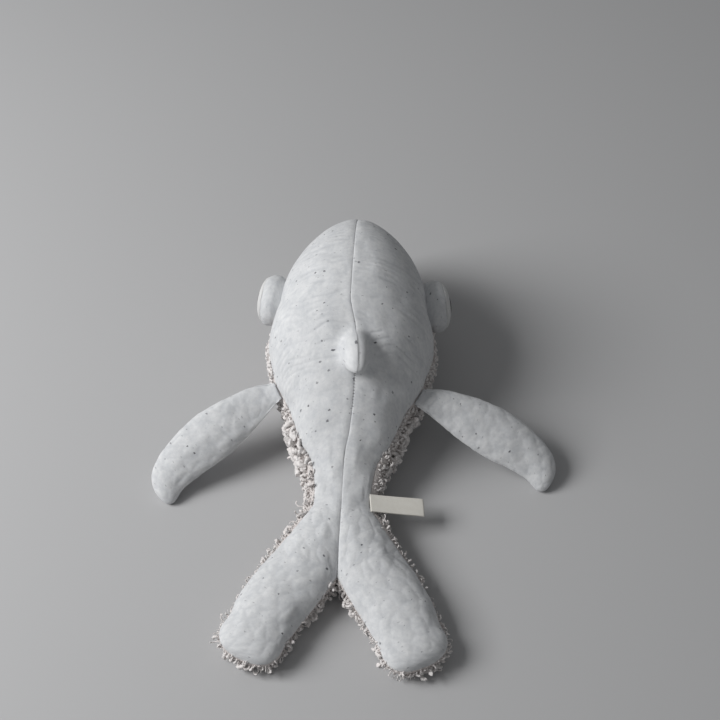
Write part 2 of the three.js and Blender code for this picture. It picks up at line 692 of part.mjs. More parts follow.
add('body_filling', ofBody(bodyForm(jersey + clearance)), stuffing);
add('belly_panel', onFloor(ofBody(bellyPanel())), curlyFleece);
add('dorsal_fin_filling', finFilling(), stuffing);
for (const [word, side] of [['left', -1], ['right', 1]]) {
  add(`back_panel_${word}`, ofBody(backPanel(side)), speckledJersey);
  add(`dorsal_fin_${word}`, finSide(side), speckledJersey);
  add(`eye_back_${word}`, eyeBack(side), speckledJersey);
  add(`eye_face_${word}`, eyeFace(side), eyeJersey);
  add(`eye_filling_${word}`, eyeFilling(side), stuffing);
  add(`pupil_${word}`, pupil(side), darkFelt);
  add(`flipper_upper_${word}`, flipperPanel(side, 1), speckledJersey);
  add(`flipper_lower_${word}`, onFloor(flipperPanel(side, -1)), speckledJersey);
  add(`flipper_filling_${word}`, flipperFilling(side), stuffing);
  add(`tail_panel_${word}`, tailPanel(side), speckledJersey);
  add(`tail_underside_${word}`, tailUnderside(side), curlyFleece);
  add(`fluke_filling_${word}`, flukeFilling(side), stuffing);
}
add('label', label(), cottonTape);

export default whale;
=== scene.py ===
"""Looks of a plush whale that lies belly down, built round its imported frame.

Rings cut through the whale give every skin its form, as they give its solids theirs. A short
cloth simulation fills the skins, their seams are pulled in, and curls, threads and finishes follow.
Forms are worked out in millimetres and become meshes in metres.
+X is the whale's right, +Y its nose and +Z up from the floor.
"""
import logging
import math
from dataclasses import dataclass, field
from enum import Enum

import bmesh
import bpy
import numpy as np
from bpy.types import NodeSocket, NodeTree, Object
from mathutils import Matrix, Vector


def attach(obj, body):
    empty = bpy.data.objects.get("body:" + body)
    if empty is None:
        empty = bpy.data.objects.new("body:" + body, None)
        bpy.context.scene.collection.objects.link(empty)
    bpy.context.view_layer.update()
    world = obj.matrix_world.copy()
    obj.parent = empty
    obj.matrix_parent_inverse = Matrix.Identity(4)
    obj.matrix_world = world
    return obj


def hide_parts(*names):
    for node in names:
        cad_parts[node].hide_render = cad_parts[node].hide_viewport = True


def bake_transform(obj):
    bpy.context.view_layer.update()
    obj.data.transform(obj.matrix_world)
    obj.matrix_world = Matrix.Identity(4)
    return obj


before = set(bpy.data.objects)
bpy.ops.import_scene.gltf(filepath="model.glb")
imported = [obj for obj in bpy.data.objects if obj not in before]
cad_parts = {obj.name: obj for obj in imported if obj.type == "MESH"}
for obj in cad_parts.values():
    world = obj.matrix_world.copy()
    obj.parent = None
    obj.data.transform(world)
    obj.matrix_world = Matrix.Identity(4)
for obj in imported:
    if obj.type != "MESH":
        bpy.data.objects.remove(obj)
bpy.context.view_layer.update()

log = logging.getLogger("plush_whale")
Array = np.ndarray
Colour = tuple[float, float, float, float]
MM = 0.001
UV_PER_MM = 0.01

# Points closer together than the first are one, and edges shorter than the second are none, in millimetres
ONE_POINT = 0.004
NO_LENGTH = 0.002


class Side(Enum):
    """The whale's own left and right."""

    LEFT = -1
    RIGHT = 1

    @property
    def word(self) -> str:
        """The side's name, as the nodes and bodies spell it."""
        return self.name.lower()

    def place_on_roll(self, apart: float) -> float:
        """Where on the roll of cloth this side's cut starts, when the two sides' cuts lie so far apart."""
        return apart if self is Side.RIGHT else 0.0


# Numbers and curves


def smooth(share: Array) -> Array:
    """Eases 0 to 1, flat at both ends."""
    share = np.clip(share, 0.0, 1.0)
    return share * share * (3.0 - 2.0 * share)


def unit(vectors: Array) -> Array:
    """Scales vectors to length 1."""
    return vectors / np.maximum(np.linalg.norm(vectors, axis=-1, keepdims=True), 1e-9)


@dataclass(frozen=True)
class Curve:
    """A smooth curve through a table of values that never overshoots them."""

    stations: tuple[float, ...]
    values: tuple[float, ...]

    def __call__(self, places: Array) -> Array:
        """Reads the curve.

        Args:
            places: Where to read it; places outside the table take its end values.

        Returns:
            The values, in the shape of places.
        """
        x, y = np.array(self.stations), np.array(self.values)
        steps = np.diff(y) / np.diff(x)
        product = steps[:-1] * steps[1:]
        total = np.where(product > 0, steps[:-1] + steps[1:], 1.0)
        inner = np.where(product > 0, 2.0 * product / total, 0.0)
        slopes = np.concatenate([steps[:1], inner, steps[-1:]])
        at = np.clip(places, x[0], x[-1])
        i = np.searchsorted(x[1:-1], at, side="left")
        span, rise = x[i + 1] - x[i], y[i + 1] - y[i]
        t = (at - x[i]) / span
        bend = (slopes[i] + slopes[i + 1]) * span - 2.0 * rise
        sag = 3.0 * rise - (2.0 * slopes[i] + slopes[i + 1]) * span
        return y[i] + t * (slopes[i] * span + t * (sag + t * bend))


def resample(values: Array, at: Array, wanted: Array) -> Array:
    """Reads rows of values between the places where they are known.

    Args:
        values: The known values, one row for each place.
        at: The known places, ascending.
        wanted: The places to read.

    Returns:
        One row of values for each wanted place, on a smooth curve through the known ones.
    """
    slopes = np.gradient(values, at, axis=0)
    i = np.clip(np.searchsorted(at, wanted) - 1, 0, len(at) - 2)
    shape = (-1,) + (1,) * (values.ndim - 1)
    span = (at[i + 1] - at[i]).reshape(shape)
    t = np.clip((wanted - at[i]).reshape(shape) / span, 0.0, 1.0)
    rise = values[i + 1] - values[i]
    bend = (slopes[i] + slopes[i + 1]) * span - 2.0 * rise
    sag = 3.0 * rise - (2.0 * slopes[i] + slopes[i + 1]) * span
    return values[i] + t * (slopes[i] * span + t * (sag + t * bend))


class Unevenness:
    """Smooth noise in space, the same on each run."""

    def __init__(self, seed: int, cells: int = 32) -> None:
        """Fills the lattice of random values.

        Args:
            seed: Picks the pattern.
            cells: Lattice cells before the pattern repeats.
        """
        self.cells = cells
        self.lattice = np.random.default_rng(seed).uniform(-1.0, 1.0, (cells,) * 3)

    def __call__(self, points: Array, *scales: float) -> Array:
        """Reads the noise.

        Args:
            points: Points, with their coordinates last; two coordinates are read as a plane.
            scales: Size of one lump along each coordinate, or one size for all.

        Returns:
            Values from -1 to 1.
        """
        if points.shape[-1] == 2:
            points = np.concatenate([points, np.zeros_like(points[..., :1])], axis=-1)
            scales = scales if len(scales) == 1 else (*scales, 1.0)
        placed = points / np.array(scales if len(scales) == 3 else scales * 3)
        low = np.floor(placed).astype(int)
        ease = smooth(placed - low)
        total = np.zeros(points.shape[:-1])
        for corner in np.ndindex(2, 2, 2):
            i, j, k = ((low[..., n] + corner[n]) % self.cells for n in range(3))
            weights = [ease[..., n] if corner[n] else 1.0 - ease[..., n] for n in range(3)]
            total += self.lattice[i, j, k] * weights[0] * weights[1] * weights[2]
        return total


# Rings through the whale


@dataclass
class Rings:
    """Cross-sections of a form: their places, their directions and how far each one reaches."""

    centre: Array
    across: Array
    up: Array
    half_width: Array
    rise: Array
    drop: Array
    fullness: float = 2.0

    def points(self, degrees: Array) -> Array:
        """Points on the rings.

        Args:
            degrees: One row of angles for each ring: 0 is its top, 90 its outer side, 180 its bottom.

        Returns:
            Points in millimetres, in the shape of degrees with three coordinates last.
        """
        sine, cosine = np.sin(np.radians(degrees)), np.cos(np.radians(degrees))
        below = cosine < 0
        power = np.where(below, 2.0 / self.fullness, 1.0)
        sideways = self.half_width[:, None] * np.sign(sine) * np.abs(sine) ** power
        reach = np.where(below, -self.drop[:, None], self.rise[:, None])
        upward = reach * np.abs(cosine) ** power
        return (
            self.centre[:, None]
            + sideways[..., None] * self.across[:, None]
            + upward[..., None] * self.up[:, None]
        )


def rounding(share: Array, powers: tuple[float, float]) -> Array:
    """What is left of a width where a form rounds off: 1 at share 0, nothing at share 1."""
    return (1.0 - np.clip(share, 0.0, 1.0) ** powers[0]) ** powers[1]


def lerp(start: Array, end: Array, share: Array) -> Array:
    """A value between two others."""
    return start + (end - start) * share


TRUNK_STATIONS = (0.0, 0.07, 0.186, 0.302, 0.442, 0.628, 0.814, 1.0)
FLUKE_STATIONS = (0.0, 0.182, 0.358, 0.527, 0.691, 0.836, 1.0)
FLIPPER_STATIONS = (0.0, 0.12, 0.22, 0.37, 0.5, 0.6, 0.7, 0.8, 0.88, 1.0)


@dataclass(frozen=True)
class WhaleForm:
    """The stuffed trunk with its two fluke lobes, as half forms either side of the centre seam.

    A station is a distance back from the origin: the nose is at -nose_reach, the waist at
    waist_reach, and a fluke's tip tail_length behind that.
    """

    nose_reach: float = 186.0
    head_start: float = 60.0
    waist_reach: float = 155.0
    half_width: float = 87.3
    height: float = 165.0
    nose_height: float = 68.0
    seam_drift: float = 8.0
    tail_length: float = 162.0
    fluke_reach: float = 85.0
    tip_share: float = 0.836
    belly_gap: float = 2.5
    fullness: float = 2.4
    head_width_powers: tuple[float, float] = (1.85, 1 / 1.35)
    head_height_powers: tuple[float, float] = (2.2, 1 / 2)
    tip_powers: tuple[float, float] = (2.8, 1 / 2.6)
    width: Curve = Curve(TRUNK_STATIONS, (0.401, 0.41, 0.448, 0.575, 0.699, 0.911, 1.0, 0.938))
    back: Curve = Curve(TRUNK_STATIONS, (0.279, 0.291, 0.364, 0.473, 0.63, 0.83, 0.958, 1.0))
    belt: Curve = Curve(TRUNK_STATIONS, (0.145, 0.152, 0.176, 0.218, 0.285, 0.376, 0.436, 0.4545))
    belly_lift: Curve = Curve(TRUNK_STATIONS, (0.006, 0.009, 0.009, 0.004, 0.0, 0.0, 0.0, 0.0))
    side_seam: Curve = Curve(TRUNK_STATIONS, (57.0, 55.0, 58.0, 68.0, 78.0, 86.0, 90.0, 90.0))
    drift: Curve = Curve(TRUNK_STATIONS, (0.0, 0.0, 0.0, 0.6, 0.94, 1.0, 0.0, 0.0))
    spread: Curve = Curve(FLUKE_STATIONS, (0.0, 0.172, 0.344, 0.552, 0.736, 0.871, 1.0))
    fluke_width: Curve = Curve(FLUKE_STATIONS, (1.0, 0.985, 1.03, 1.02, 0.98, 0.93, 0.93))
    fluke_back: Curve = Curve(FLUKE_STATIONS, (1.0, 0.98, 0.93, 0.87, 0.82, 0.74, 0.7))
    fluke_belt: Curve = Curve(FLUKE_STATIONS, (1.0, 0.96, 0.92, 0.88, 0.83, 0.79, 0.76))
    fluke_lift: Curve = Curve(FLUKE_STATIONS, (1.0, 0.5, 0.0, 0.0, 0.0, 0.0, 0.0))
    turn: Curve = Curve(FLUKE_STATIONS, (0.0, 10.0, 18.0, 25.0, 25.0, 24.0, 24.0))
    fluke_seam: Curve = Curve(FLUKE_STATIONS, (57.0, 64.0, 75.0, 85.0, 90.0, 90.0, 90.0))

    @property
    def tip(self) -> float:
        """The station of a fluke's tip."""
        return self.waist_reach + self.tail_length

    def _trunk_share(self, station: Array) -> Array:
        """Where a station of the trunk lies in the trunk's tables."""
        forward = np.minimum(-station, self.head_start)
        return (forward + self.waist_reach) / (self.waist_reach + self.head_start)

    def rings(self, side: Side, stations: Array, inset: float = 0.0) -> Rings:
        """The rings of one half form.

        Args:
            side: Which half; its across directions point away from the centre seam.
            stations: Where the rings are.
            inset: How far inside the skin they lie.

        Returns:
            One ring for each station.
        """
        trunk = self._trunk_rings(side, np.minimum(stations, self.waist_reach), inset)
        tail = self._tail_rings(side, np.maximum(stations - self.waist_reach, 0.0), inset)
        behind = stations > self.waist_reach
        pick = {
            name: np.where(
                behind[:, None] if getattr(tail, name).ndim == 2 else behind,
                getattr(tail, name),
                getattr(trunk, name),
            )
            for name in ("centre", "across", "up", "half_width", "rise", "drop")
        }
        return Rings(**pick, fullness=self.fullness)

    def _trunk_rings(self, side: Side, station: Array, inset: float) -> Rings:
        """The rings of the trunk and head."""
        share = self._trunk_share(station)
        end = np.clip((-station - self.head_start) / (self.nose_reach - self.head_start), 0.0, 1.0)
        belt = self.height * self.belt(share)
        bottom = self.belly_gap + self.height * self.belly_lift(share)
        wide = rounding(end, self.head_width_powers)
        tall = rounding(end, self.head_height_powers)
        zero, one = np.zeros_like(share), np.ones_like(share)
        return Rings(
            np.stack([zero, -station - inset * end, lerp(belt, self.nose_height, end**2)], axis=1),
            np.stack([side.value * one, zero, zero], axis=1),
            np.stack([zero, zero, one], axis=1),
            (self.half_width * self.width(share) - inset) * wide,
            (self.height * self.back(share) - belt - inset) * tall,
            (belt - bottom - inset) * tall,
        )

    def _tail_rings(self, side: Side, behind: Array, inset: float) -> Rings:
        """The rings of one lobe of the tail."""
        share = behind / self.tail_length
        end = np.clip((share - self.tip_share) / (1.0 - self.tip_share), 0.0, 1.0)
        reach = share - inset / self.tail_length * end
        turn = np.radians(self.turn(reach))
        waist_width = self.half_width * self.width.values[0]
        waist_back, waist_belt = self.height * self.back.values[0], self.height * self.belt.values[0]
        belt = waist_belt * self.fluke_belt(reach)
        lift = self.height * self.belly_lift.values[0] * self.fluke_lift(reach)
        left = rounding(end, self.tip_powers)
        outward = side.value * self.fluke_reach * self.spread(reach)
        backward = -self.waist_reach - self.tail_length * reach
        zero, one = np.zeros_like(share), np.ones_like(share)
        return Rings(
            np.stack([outward, backward, belt], axis=1),
            np.stack([side.value * np.cos(turn), np.sin(turn), zero], axis=1),
            np.stack([zero, zero, one], axis=1),
            (waist_width * self.fluke_width(reach) - inset) * left,
            (waist_back * self.fluke_back(reach) - belt - inset) * left,
            (belt - self.belly_gap - lift - inset) * left,
        )

    def side_seam_degrees(self, stations: Array) -> Array:
        """How far round a ring the outer side seam runs."""
        share = (stations - self.waist_reach) / self.tail_length
        trunk = self.side_seam(self._trunk_share(stations))
        return np.where(stations > self.waist_reach, self.fluke_seam(share), trunk)

    def inner_degrees(self, side: Side, stations: Array, under: bool) -> Array:
        """Where a half form ends towards the middle of the whale.

        Args:
            side: Which half.
            stations: Where its rings are.
            under: Whether the end of the underside is wanted, and not that of the top.

        Returns:
            The centre seam's angle, or the inner side seam's once the lobes part.
        """
        rings = self.rings(side, stations)
        seam = self.side_seam_degrees(stations)
        share = self._trunk_share(stations)
        sine = self.seam_drift * self.drift(share) / np.maximum(rings.half_width, self.seam_drift)
        crown = np.where(stations < self.waist_reach, np.degrees(np.arcsin(sine)), 0.0)
        start = np.full_like(stations, 180.0) if under else side.value * crown
        far = 360.0 - seam if under else -seam
        near, out = start.copy(), far.copy()
        for _ in range(40):
            middle = (near + out) / 2
            inside = side.value * rings.points(middle[:, None])[:, 0, 0] < 0
            out, near = np.where(inside, middle, out), np.where(inside, near, middle)
        lobe = stations > self.waist_reach
        crosses = side.value * rings.points(far[:, None])[:, 0, 0] < 0
        return np.where(lobe & crosses, near, np.where(lobe, far, start))

    def degrees(self, side: Side, stations: Array, shares: Array, under: bool) -> Array:
        """Angles of a panel's columns, from the middle of the whale out to the side seam."""
        inner = self.inner_degrees(side, stations, under)[:, None]
        return lerp(inner, self.side_seam_degrees(stations)[:, None], shares[None])

    def crotch(self) -> float:
        """The station where the two lobes part, found by halving."""
        near, far = self.waist_reach, self.waist_reach + self.tip_share * self.tail_length
        for _ in range(50):
            middle = np.array([(near + far) / 2])
            angle = -self.side_seam_degrees(middle)[:, None]
            parted = self.rings(Side.RIGHT, middle).points(angle)[0, 0, 0] > 0
            near, far = (near, middle[0]) if parted else (middle[0], far)
        return (near + far) / 2

    def stations(self, spacing: float) -> Array:
        """Stations from the nose to a fluke's tip.

        Args:
            spacing: Distance between two stations on the trunk, in millimetres.

        Returns:
            The stations, closer together where the form rounds off, and one where the lobes part.
        """
        head = self.nose_reach - self.head_start
        tip = self.tail_length * (1.0 - self.tip_share)
        quarter = np.linspace(1.0, 0.0, round(1.25 * head / spacing) + 1)[:-1]
        nose = -self.head_start - head * np.sin(quarter * math.pi / 2)
        middle_end = self.tip - tip
        count = round((self.head_start + middle_end) / spacing)
        middle = np.linspace(-self.head_start, middle_end, count + 1)
        middle[np.abs(middle - self.crotch()).argmin()] = self.crotch()
        quarter = np.linspace(0.0, 1.0, round(1.8 * tip / spacing) + 1)[1:]
        return np.concatenate([nose, middle, middle_end + tip * np.sin(quarter * math.pi / 2)])

    def normals(self, side: Side, stations: Array, degrees: Array) -> Array:
        """Outward directions of the skin, the same on both sides of a seam."""
        step = 0.4
        held = np.clip(stations, step - self.nose_reach, self.tip - step)
        rings = self.rings(side, held)
        rear, front = (self.rings(side, held + way).points(degrees) for way in (step, -step))
        round_it = rings.points(degrees + step) - rings.points(degrees - step)
        normals = unit(np.cross(rear - front, round_it))
        outward = rings.points(degrees) - rings.centre[:, None]
        return normals * np.sign(np.einsum("ijk,ijk->ij", normals, outward))[..., None]

    def seat(self, side: Side, station: Array, degrees: Array) -> tuple[Array, Array, Array]:
        """One place on the skin, and its directions towards the nose and outwards."""
        step = 0.3
        at = self.rings(side, station).points(degrees)[0, 0]
        outward = self.normals(side, station, degrees)[0, 0]
        ahead = self.rings(side, station - step).points(degrees)[0, 0] - at
        return at, unit(ahead - outward * (ahead @ outward)), outward

    def on_side_seam(self, side: Side, stations: Array) -> Array:
        """Points on the outer side seam."""
        return self.rings(side, stations).points(self.side_seam_degrees(stations)[:, None])[:, 0]


# Cuts of cloth


def crowded(count: int, crowding: float = 0.62) -> Array:
    """Shares from 0 to 1 that lie closer together at both ends, where the seams are."""
    share = np.linspace(0.0, 1.0, count)
    return share - crowding / (2 * math.pi) * np.sin(2 * math.pi * share)


@dataclass
class Panel:
    """A cut of cloth as a grid of points in millimetres.

    Rows run from one end to the other and columns from the first seam to the last. Where turned is
    true, rows and columns run so that the faces have to be turned round to point outwards. The origin
    says where on the roll of cloth it is cut, so that no two cuts have the same pattern.
    """

    points: Array
    normals: Array
    turned: bool
    marks: dict[str, Array] = field(default_factory=dict)
    origin: float = 0.0
    first: Array = field(init=False)
    last: Array = field(init=False)
    along: Array = field(init=False)

    def __post_init__(self) -> None:
        """Measures how far each point lies from both seams and from the first row."""
        across = np.linalg.norm(np.diff(self.points, axis=1), axis=-1)
        self.first = np.pad(np.cumsum(across, axis=1), ((0, 0), (1, 0)))
        self.last = self.first[:, -1:] - self.first
        down = np.linalg.norm(np.diff(self.points, axis=0), axis=-1).mean(axis=1)
        self.along = np.broadcast_to(np.pad(np.cumsum(down), (1, 0))[:, None], self.first.shape)

    @property
    def cloth(self) -> Array:
        """Places on the flat cloth: across it and along it, in millimetres."""
        return np.stack([self.first + self.origin, self.along], axis=-1)

    def push(self, amount: Array) -> None:
        """Moves the cloth outwards by an amount, in millimetres, at each point."""
        self.points = self.points + amount[..., None] * self.normals

    def faces(self, start: int = 0) -> Array:
        """Faces that point outwards, where the grid's first point has the number start."""
        made = quads(*self.points.shape[:2], start)
        return made[:, ::-1] if self.turned else made

    def piece(self, name: str) -> Object:
        """Makes the cloth a piece of its own, with its marks kept at its points."""
        points, cloth = self.points.reshape(-1, 3), self.cloth.reshape(-1, 2)
        return mesh_object(name, points, self.faces(), cloth, self.marks)

    def formed_normals(self) -> Array:
        """Outward directions worked out from the grid as it is now."""
        down = np.gradient(self.points, axis=0)
        across = np.gradient(self.points, axis=1)
        normals = unit(np.cross(across, down))
        return -normals if self.turned else normals


def joined(name: str, cuts: list[Panel]) -> Object:
    """Makes one piece of several cuts, joined where their edges meet."""
    points, faces, cloth, start = [], [], [], 0
    for cut in cuts:
        points.append(cut.points.reshape(-1, 3))
        cloth.append(cut.cloth.reshape(-1, 2))
        faces.append(cut.faces(start))
        start += len(points[-1])
    return mesh_object(name, np.concatenate(points), np.concatenate(faces), np.concatenate(cloth))


def quads(rows: int, columns: int, start: int = 0) -> Array:
    """Faces of a grid.

    Args:
        rows: Rows of points.
        columns: Points in a row.
        start: Number of the grid's first point.

    Returns:
        Four point numbers for each face.
    """
    i, j = np.meshgrid(np.arange(rows - 1), np.arange(columns - 1), indexing="ij")
    first = i * columns + j
    corners = (first, first + 1, first + columns + 1, first + columns)
    return start + np.stack([corner.ravel() for corner in corners], axis=1)


def mesh_object(
    name: str, points: Array, faces: Array, uv: Array | None = None, marks: dict[str, Array] | None = None
) -> Object:
    """Makes a shaded mesh object from points in millimetres.

    Args:
        name: The piece's name.
        points: Points, three coordinates each.
        faces: Four point numbers for each face, in the order that makes it point outwards.
        uv: Places of the points on the flat cloth in millimetres, or None.
        marks: Numbers to keep at the points, by the name of their attribute.

    Returns:
        The object, in the scene, with doubles merged and its place in its mesh.
    """
    mesh = bpy.data.meshes.new(name)
    mesh.vertices.add(len(points))
    mesh.vertices.foreach_set("co", (points * MM).astype(np.float32).ravel())
    mesh.loops.add(faces.size)
    mesh.loops.foreach_set("vertex_index", faces.astype(np.int32).ravel())
    mesh.polygons.add(len(faces))
    mesh.polygons.foreach_set("loop_start", np.arange(0, faces.size, 4, dtype=np.int32))
    if uv is not None:
        layer = mesh.uv_layers.new(name="cloth")
        layer.uv.foreach_set("vector", (uv[faces.ravel()] * UV_PER_MM).astype(np.float32).ravel())
    for mark, values in (marks or {}).items():
        attribute = mesh.attributes.new(mark, "FLOAT", "POINT")
        attribute.data.foreach_set("value", values.astype(np.float32).ravel())
    mesh.update(calc_edges=True)
    merge = bmesh.new()
    merge.from_mesh(mesh)
    bmesh.ops.remove_doubles(merge, verts=merge.verts, dist=ONE_POINT * MM)
    bmesh.ops.dissolve_degenerate(merge, edges=merge.edges, dist=NO_LENGTH * MM)
    merge.to_mesh(mesh)
    merge.free()
    mesh.shade_smooth()
    return in_scene(name, mesh)


def in_scene(name: str, data: bpy.types.ID) -> Object:
    """Makes an object of a mesh, a camera or a lamp and puts it in the scene."""
    made = bpy.data.objects.new(name, data)
    bpy.context.scene.collection.objects.link(made)
    return made


def thicken(piece: Object, thickness: float, offset: float = -1.0) -> None:
    """Gives a skin its cloth's thickness in millimetres, on the inside or, at offset 0, on both sides."""
    wall = piece.modifiers.new("cloth thickness", "SOLIDIFY")
    wall.thickness = thickness * MM
    wall.offset = offset


def dress(piece: Object, finish: bpy.types.Material) -> None:
    """Gives a piece its material and logs it."""
    piece.data.materials.append(finish)
    log.info("%s: %d faces", piece.name, len(piece.data.polygons))


@dataclass(frozen=True)
class ClothFilling:
    """A cloth simulation that fills a closed skin.

    The most that a point moves is in millimetres, and the slack is how much the cloth may grow.
    """

    pressure: float = 4.0
    frames: int = 20
    most: float = 5.0
    slack: float = 0.012
    quality: int = 6
    mass: float = 0.25
    tension: float = 20.0
    shear: float = 8.0
    bending: float = 0.6

    def fill(self, cuts: list[Panel], held: list[Array]) -> None:
        """Fills the skin that cuts of cloth make where their edges meet, and moves their points.

        Args:
            cuts: The cuts, which together close round the filling.
            held: For each cut, how firmly each point is held, from 0 to 1, as a seam is.
        """
        skin, places = welded(cuts)
        group = skin.vertex_groups.new(name="held")
        for numbers, weights in zip(places, held):
            for number, weight in zip(numbers.ravel().tolist(), weights.ravel().tolist()):
                if weight > 0:
                    group.add([number], weight, "REPLACE")
        cloth = skin.modifiers.new("cloth", "CLOTH")
        settings = cloth.settings
        settings.quality = self.quality
        settings.mass = self.mass
        settings.tension_stiffness = settings.compression_stiffness = self.tension
        settings.shear_stiffness = self.shear
        settings.bending_stiffness = self.bending
        settings.use_pressure = True
        settings.uniform_pressure_force = self.pressure
        settings.shrink_min = -self.slack
        settings.vertex_group_mass = "held"
        settings.pin_stiffness = 1.0
        settings.effector_weights.gravity = 0.0
        cloth.point_cache.frame_start, cloth.point_cache.frame_end = 1, self.frames
        for number in range(1, self.frames + 1):
            bpy.context.scene.frame_set(number)
        evaluated = skin.evaluated_get(bpy.context.evaluated_depsgraph_get())
        filled = np.zeros(len(skin.data.vertices) * 3, np.float32)
        evaluated.data.vertices.foreach_get("co", filled)
        filled = filled.reshape(-1, 3).astype(float) / MM
        bpy.context.scene.frame_set(1)
        mesh = skin.data
        bpy.data.objects.remove(skin)
        bpy.data.meshes.remove(mesh)
        for cut, numbers in zip(cuts, places):
            shift = filled[numbers] - cut.points
            length = np.linalg.norm(shift, axis=-1, keepdims=True)
            held_back = shift * np.tanh(length / self.most) * self.most
            cut.points = cut.points + held_back / np.maximum(length, 1e-6)


def softened(shift: Array, passes: int) -> Array:
    """Evens out how far rows of points move, so that broad folds stay and small wrinkles go.

    Args:
        shift: How far each point moves, in rows and columns.
        passes: How often each row is averaged with its neighbours.

    Returns:
        The evened shift, with the two rows at each end as they were.
    """
    soft = shift
    for _ in range(passes):
        soft = np.concatenate([soft[:1], (soft[:-2] + 2.0 * soft[1:-1] + soft[2:]) / 4.0, soft[-1:]])
    soft[[0, 1, -2, -1]] = shift[[0, 1, -2, -1]]
    return soft


def carried(shift: Array, rows: Array, fine_rows: Array, columns: int) -> Array:
    """Carries how far a coarse grid of points moves over to a fine one on the same form.

    Args:
        shift: How far each coarse point moves.
        rows: Places of the coarse rows.
        fine_rows: Places of the fine rows.
        columns: Columns of the fine grid.

    Returns:
        How far each fine point moves.
    """
    shift = resample(shift, rows, fine_rows).transpose(1, 0, 2)
    return resample(shift, crowded(len(shift)), crowded(columns)).transpose(1, 0, 2)


def numbered(points: Array, place: float = 0.05, offset: float = 0.0123) -> tuple[Array, Array]:
    """Gives points that lie in one place the same number.

    Args:
        points: Points in millimetres, one in each row.
        place: Size of one place.
        offset: Keeps round coordinates away from the borders between places.

    Returns:
        The row of one point for each number, and the number of each point.
    """
    keys = np.floor((points + offset) / place).astype(np.int64)
    _, kept, numbers = np.unique(keys, axis=0, return_index=True, return_inverse=True)
    return kept, numbers.ravel()


def brought_together(cuts: list[Panel], before: list[Array]) -> None:
    """Closes the gaps between cuts whose points have moved.

    Args:
        cuts: The cuts as they are now, whose points are moved.
        before: Their points when the edges still met.
    """
    kept, numbers = numbered(np.concatenate([points.reshape(-1, 3) for points in before]))
    now = np.concatenate([cut.points.reshape(-1, 3) for cut in cuts])
    sums = np.zeros((len(kept), 3))
    np.add.at(sums, numbers, now)
    middles = (sums / np.bincount(numbers)[:, None])[numbers]
    start = 0
    for cut in cuts:
        count = cut.points.size // 3
        cut.points = middles[start : start + count].reshape(cut.points.shape)
        start += count


def welded(cuts: list[Panel]) -> tuple[Object, list[Array]]:
    """Joins cuts of cloth into one skin wherever their points coincide.

    Args:
        cuts: The cuts.

    Returns:
        The skin, and for each cut the skin's point at each of its places.
    """
    every = np.concatenate([cut.points.reshape(-1, 3) for cut in cuts])
    kept, numbers = numbered(every)
    faces, places, start = [], [], 0
    for cut in cuts:
        rows, columns = cut.points.shape[:2]
        for face in numbers[cut.faces() + start].tolist():
            corners = list(dict.fromkeys(face))
            if len(corners) > 2:
                faces.append(corners)
        places.append(numbers[start : start + rows * columns].reshape(rows, columns))
        start += rows * columns
    mesh = bpy.data.meshes.new("filling_skin")
    mesh.from_pydata((every[kept] * MM).tolist(), [], faces)
    return in_scene("filling_skin", mesh), places


# Node trees


Input = NodeSocket | float | int | str | bool | tuple


@dataclass(frozen=True)
class Wiring:
    """Adds nodes to a tree and joins them."""

    tree: NodeTree

    def add(
        self, kind: str, inputs: dict[str | int, Input] | None = None, **settings: object
    ) -> bpy.types.Node:
        """Adds a node.

        Args:
            kind: Its type.
            inputs: A value or another node's output for each of its sockets, by name or number.
            settings: Its other properties.

        Returns:
            The node.
        """
        node = self.tree.nodes.new(kind)
        for name, value in settings.items():
            setattr(node, name, value)
        for name, value in (inputs or {}).items():
            if isinstance(value, NodeSocket):
                self.tree.links.new(value, node.inputs[name])
            elif value is not None:
                node.inputs[name].default_value = value
        return node

    def out(
        self, kind: str, inputs: dict[str | int, Input] | None = None, **settings: object
    ) -> NodeSocket:
        """Adds a node and gives its first output."""
        return self.add(kind, inputs, **settings).outputs[0]

    def math(self, operation: str, *values: Input) -> NodeSocket:
        """Works out one number from others."""
        return self.out("ShaderNodeMath", dict(enumerate(values)), operation=operation)

    def noise(self, vector: Input, size: Input, detail: float) -> NodeSocket:
        """Smooth noise from 0 to 1, in lumps of a size."""
        scale = self.math("DIVIDE", 1.0, size)
        return self.out("ShaderNodeTexNoise", {"Vector": vector, "Scale": scale, "Detail": detail})

    def blend(self, share: Input, first: Input, second: Input) -> NodeSocket:
        """Mixes two colours."""
        node = self.add("ShaderNodeMix", data_type="RGBA")
        for number, value in ((0, share), (6, first), (7, second)):
            if isinstance(value, NodeSocket):
                self.tree.links.new(value, node.inputs[number])
            else:
                node.inputs[number].default_value = value
        return node.outputs[2]


# Curls and threads


def geometry_tree(name: str, numbers: dict[str, float], seed: int) -> tuple[Wiring, object]:
    """Starts a geometry node tree that takes a geometry, numbers and a seed.

    Args:
        name: Its name.
        numbers: Its number inputs with their values.
        seed: The value of its seed.

    Returns:
        The wiring of the tree, and its inputs.
    """
    tree = bpy.data.node_groups.new(name, "GeometryNodeTree")
    face = tree.interface
    face.new_socket("Geometry", in_out="INPUT", socket_type="NodeSocketGeometry")
    for label, value in numbers.items():
        face.new_socket(label, in_out="INPUT", socket_type="NodeSocketFloat").default_value = value
    face.new_socket("Seed", in_out="INPUT", socket_type="NodeSocketInt").default_value = seed
    face.new_socket("Geometry", in_out="OUTPUT", socket_type="NodeSocketGeometry")
    wire = Wiring(tree)
    return wire, wire.add("NodeGroupInput").outputs


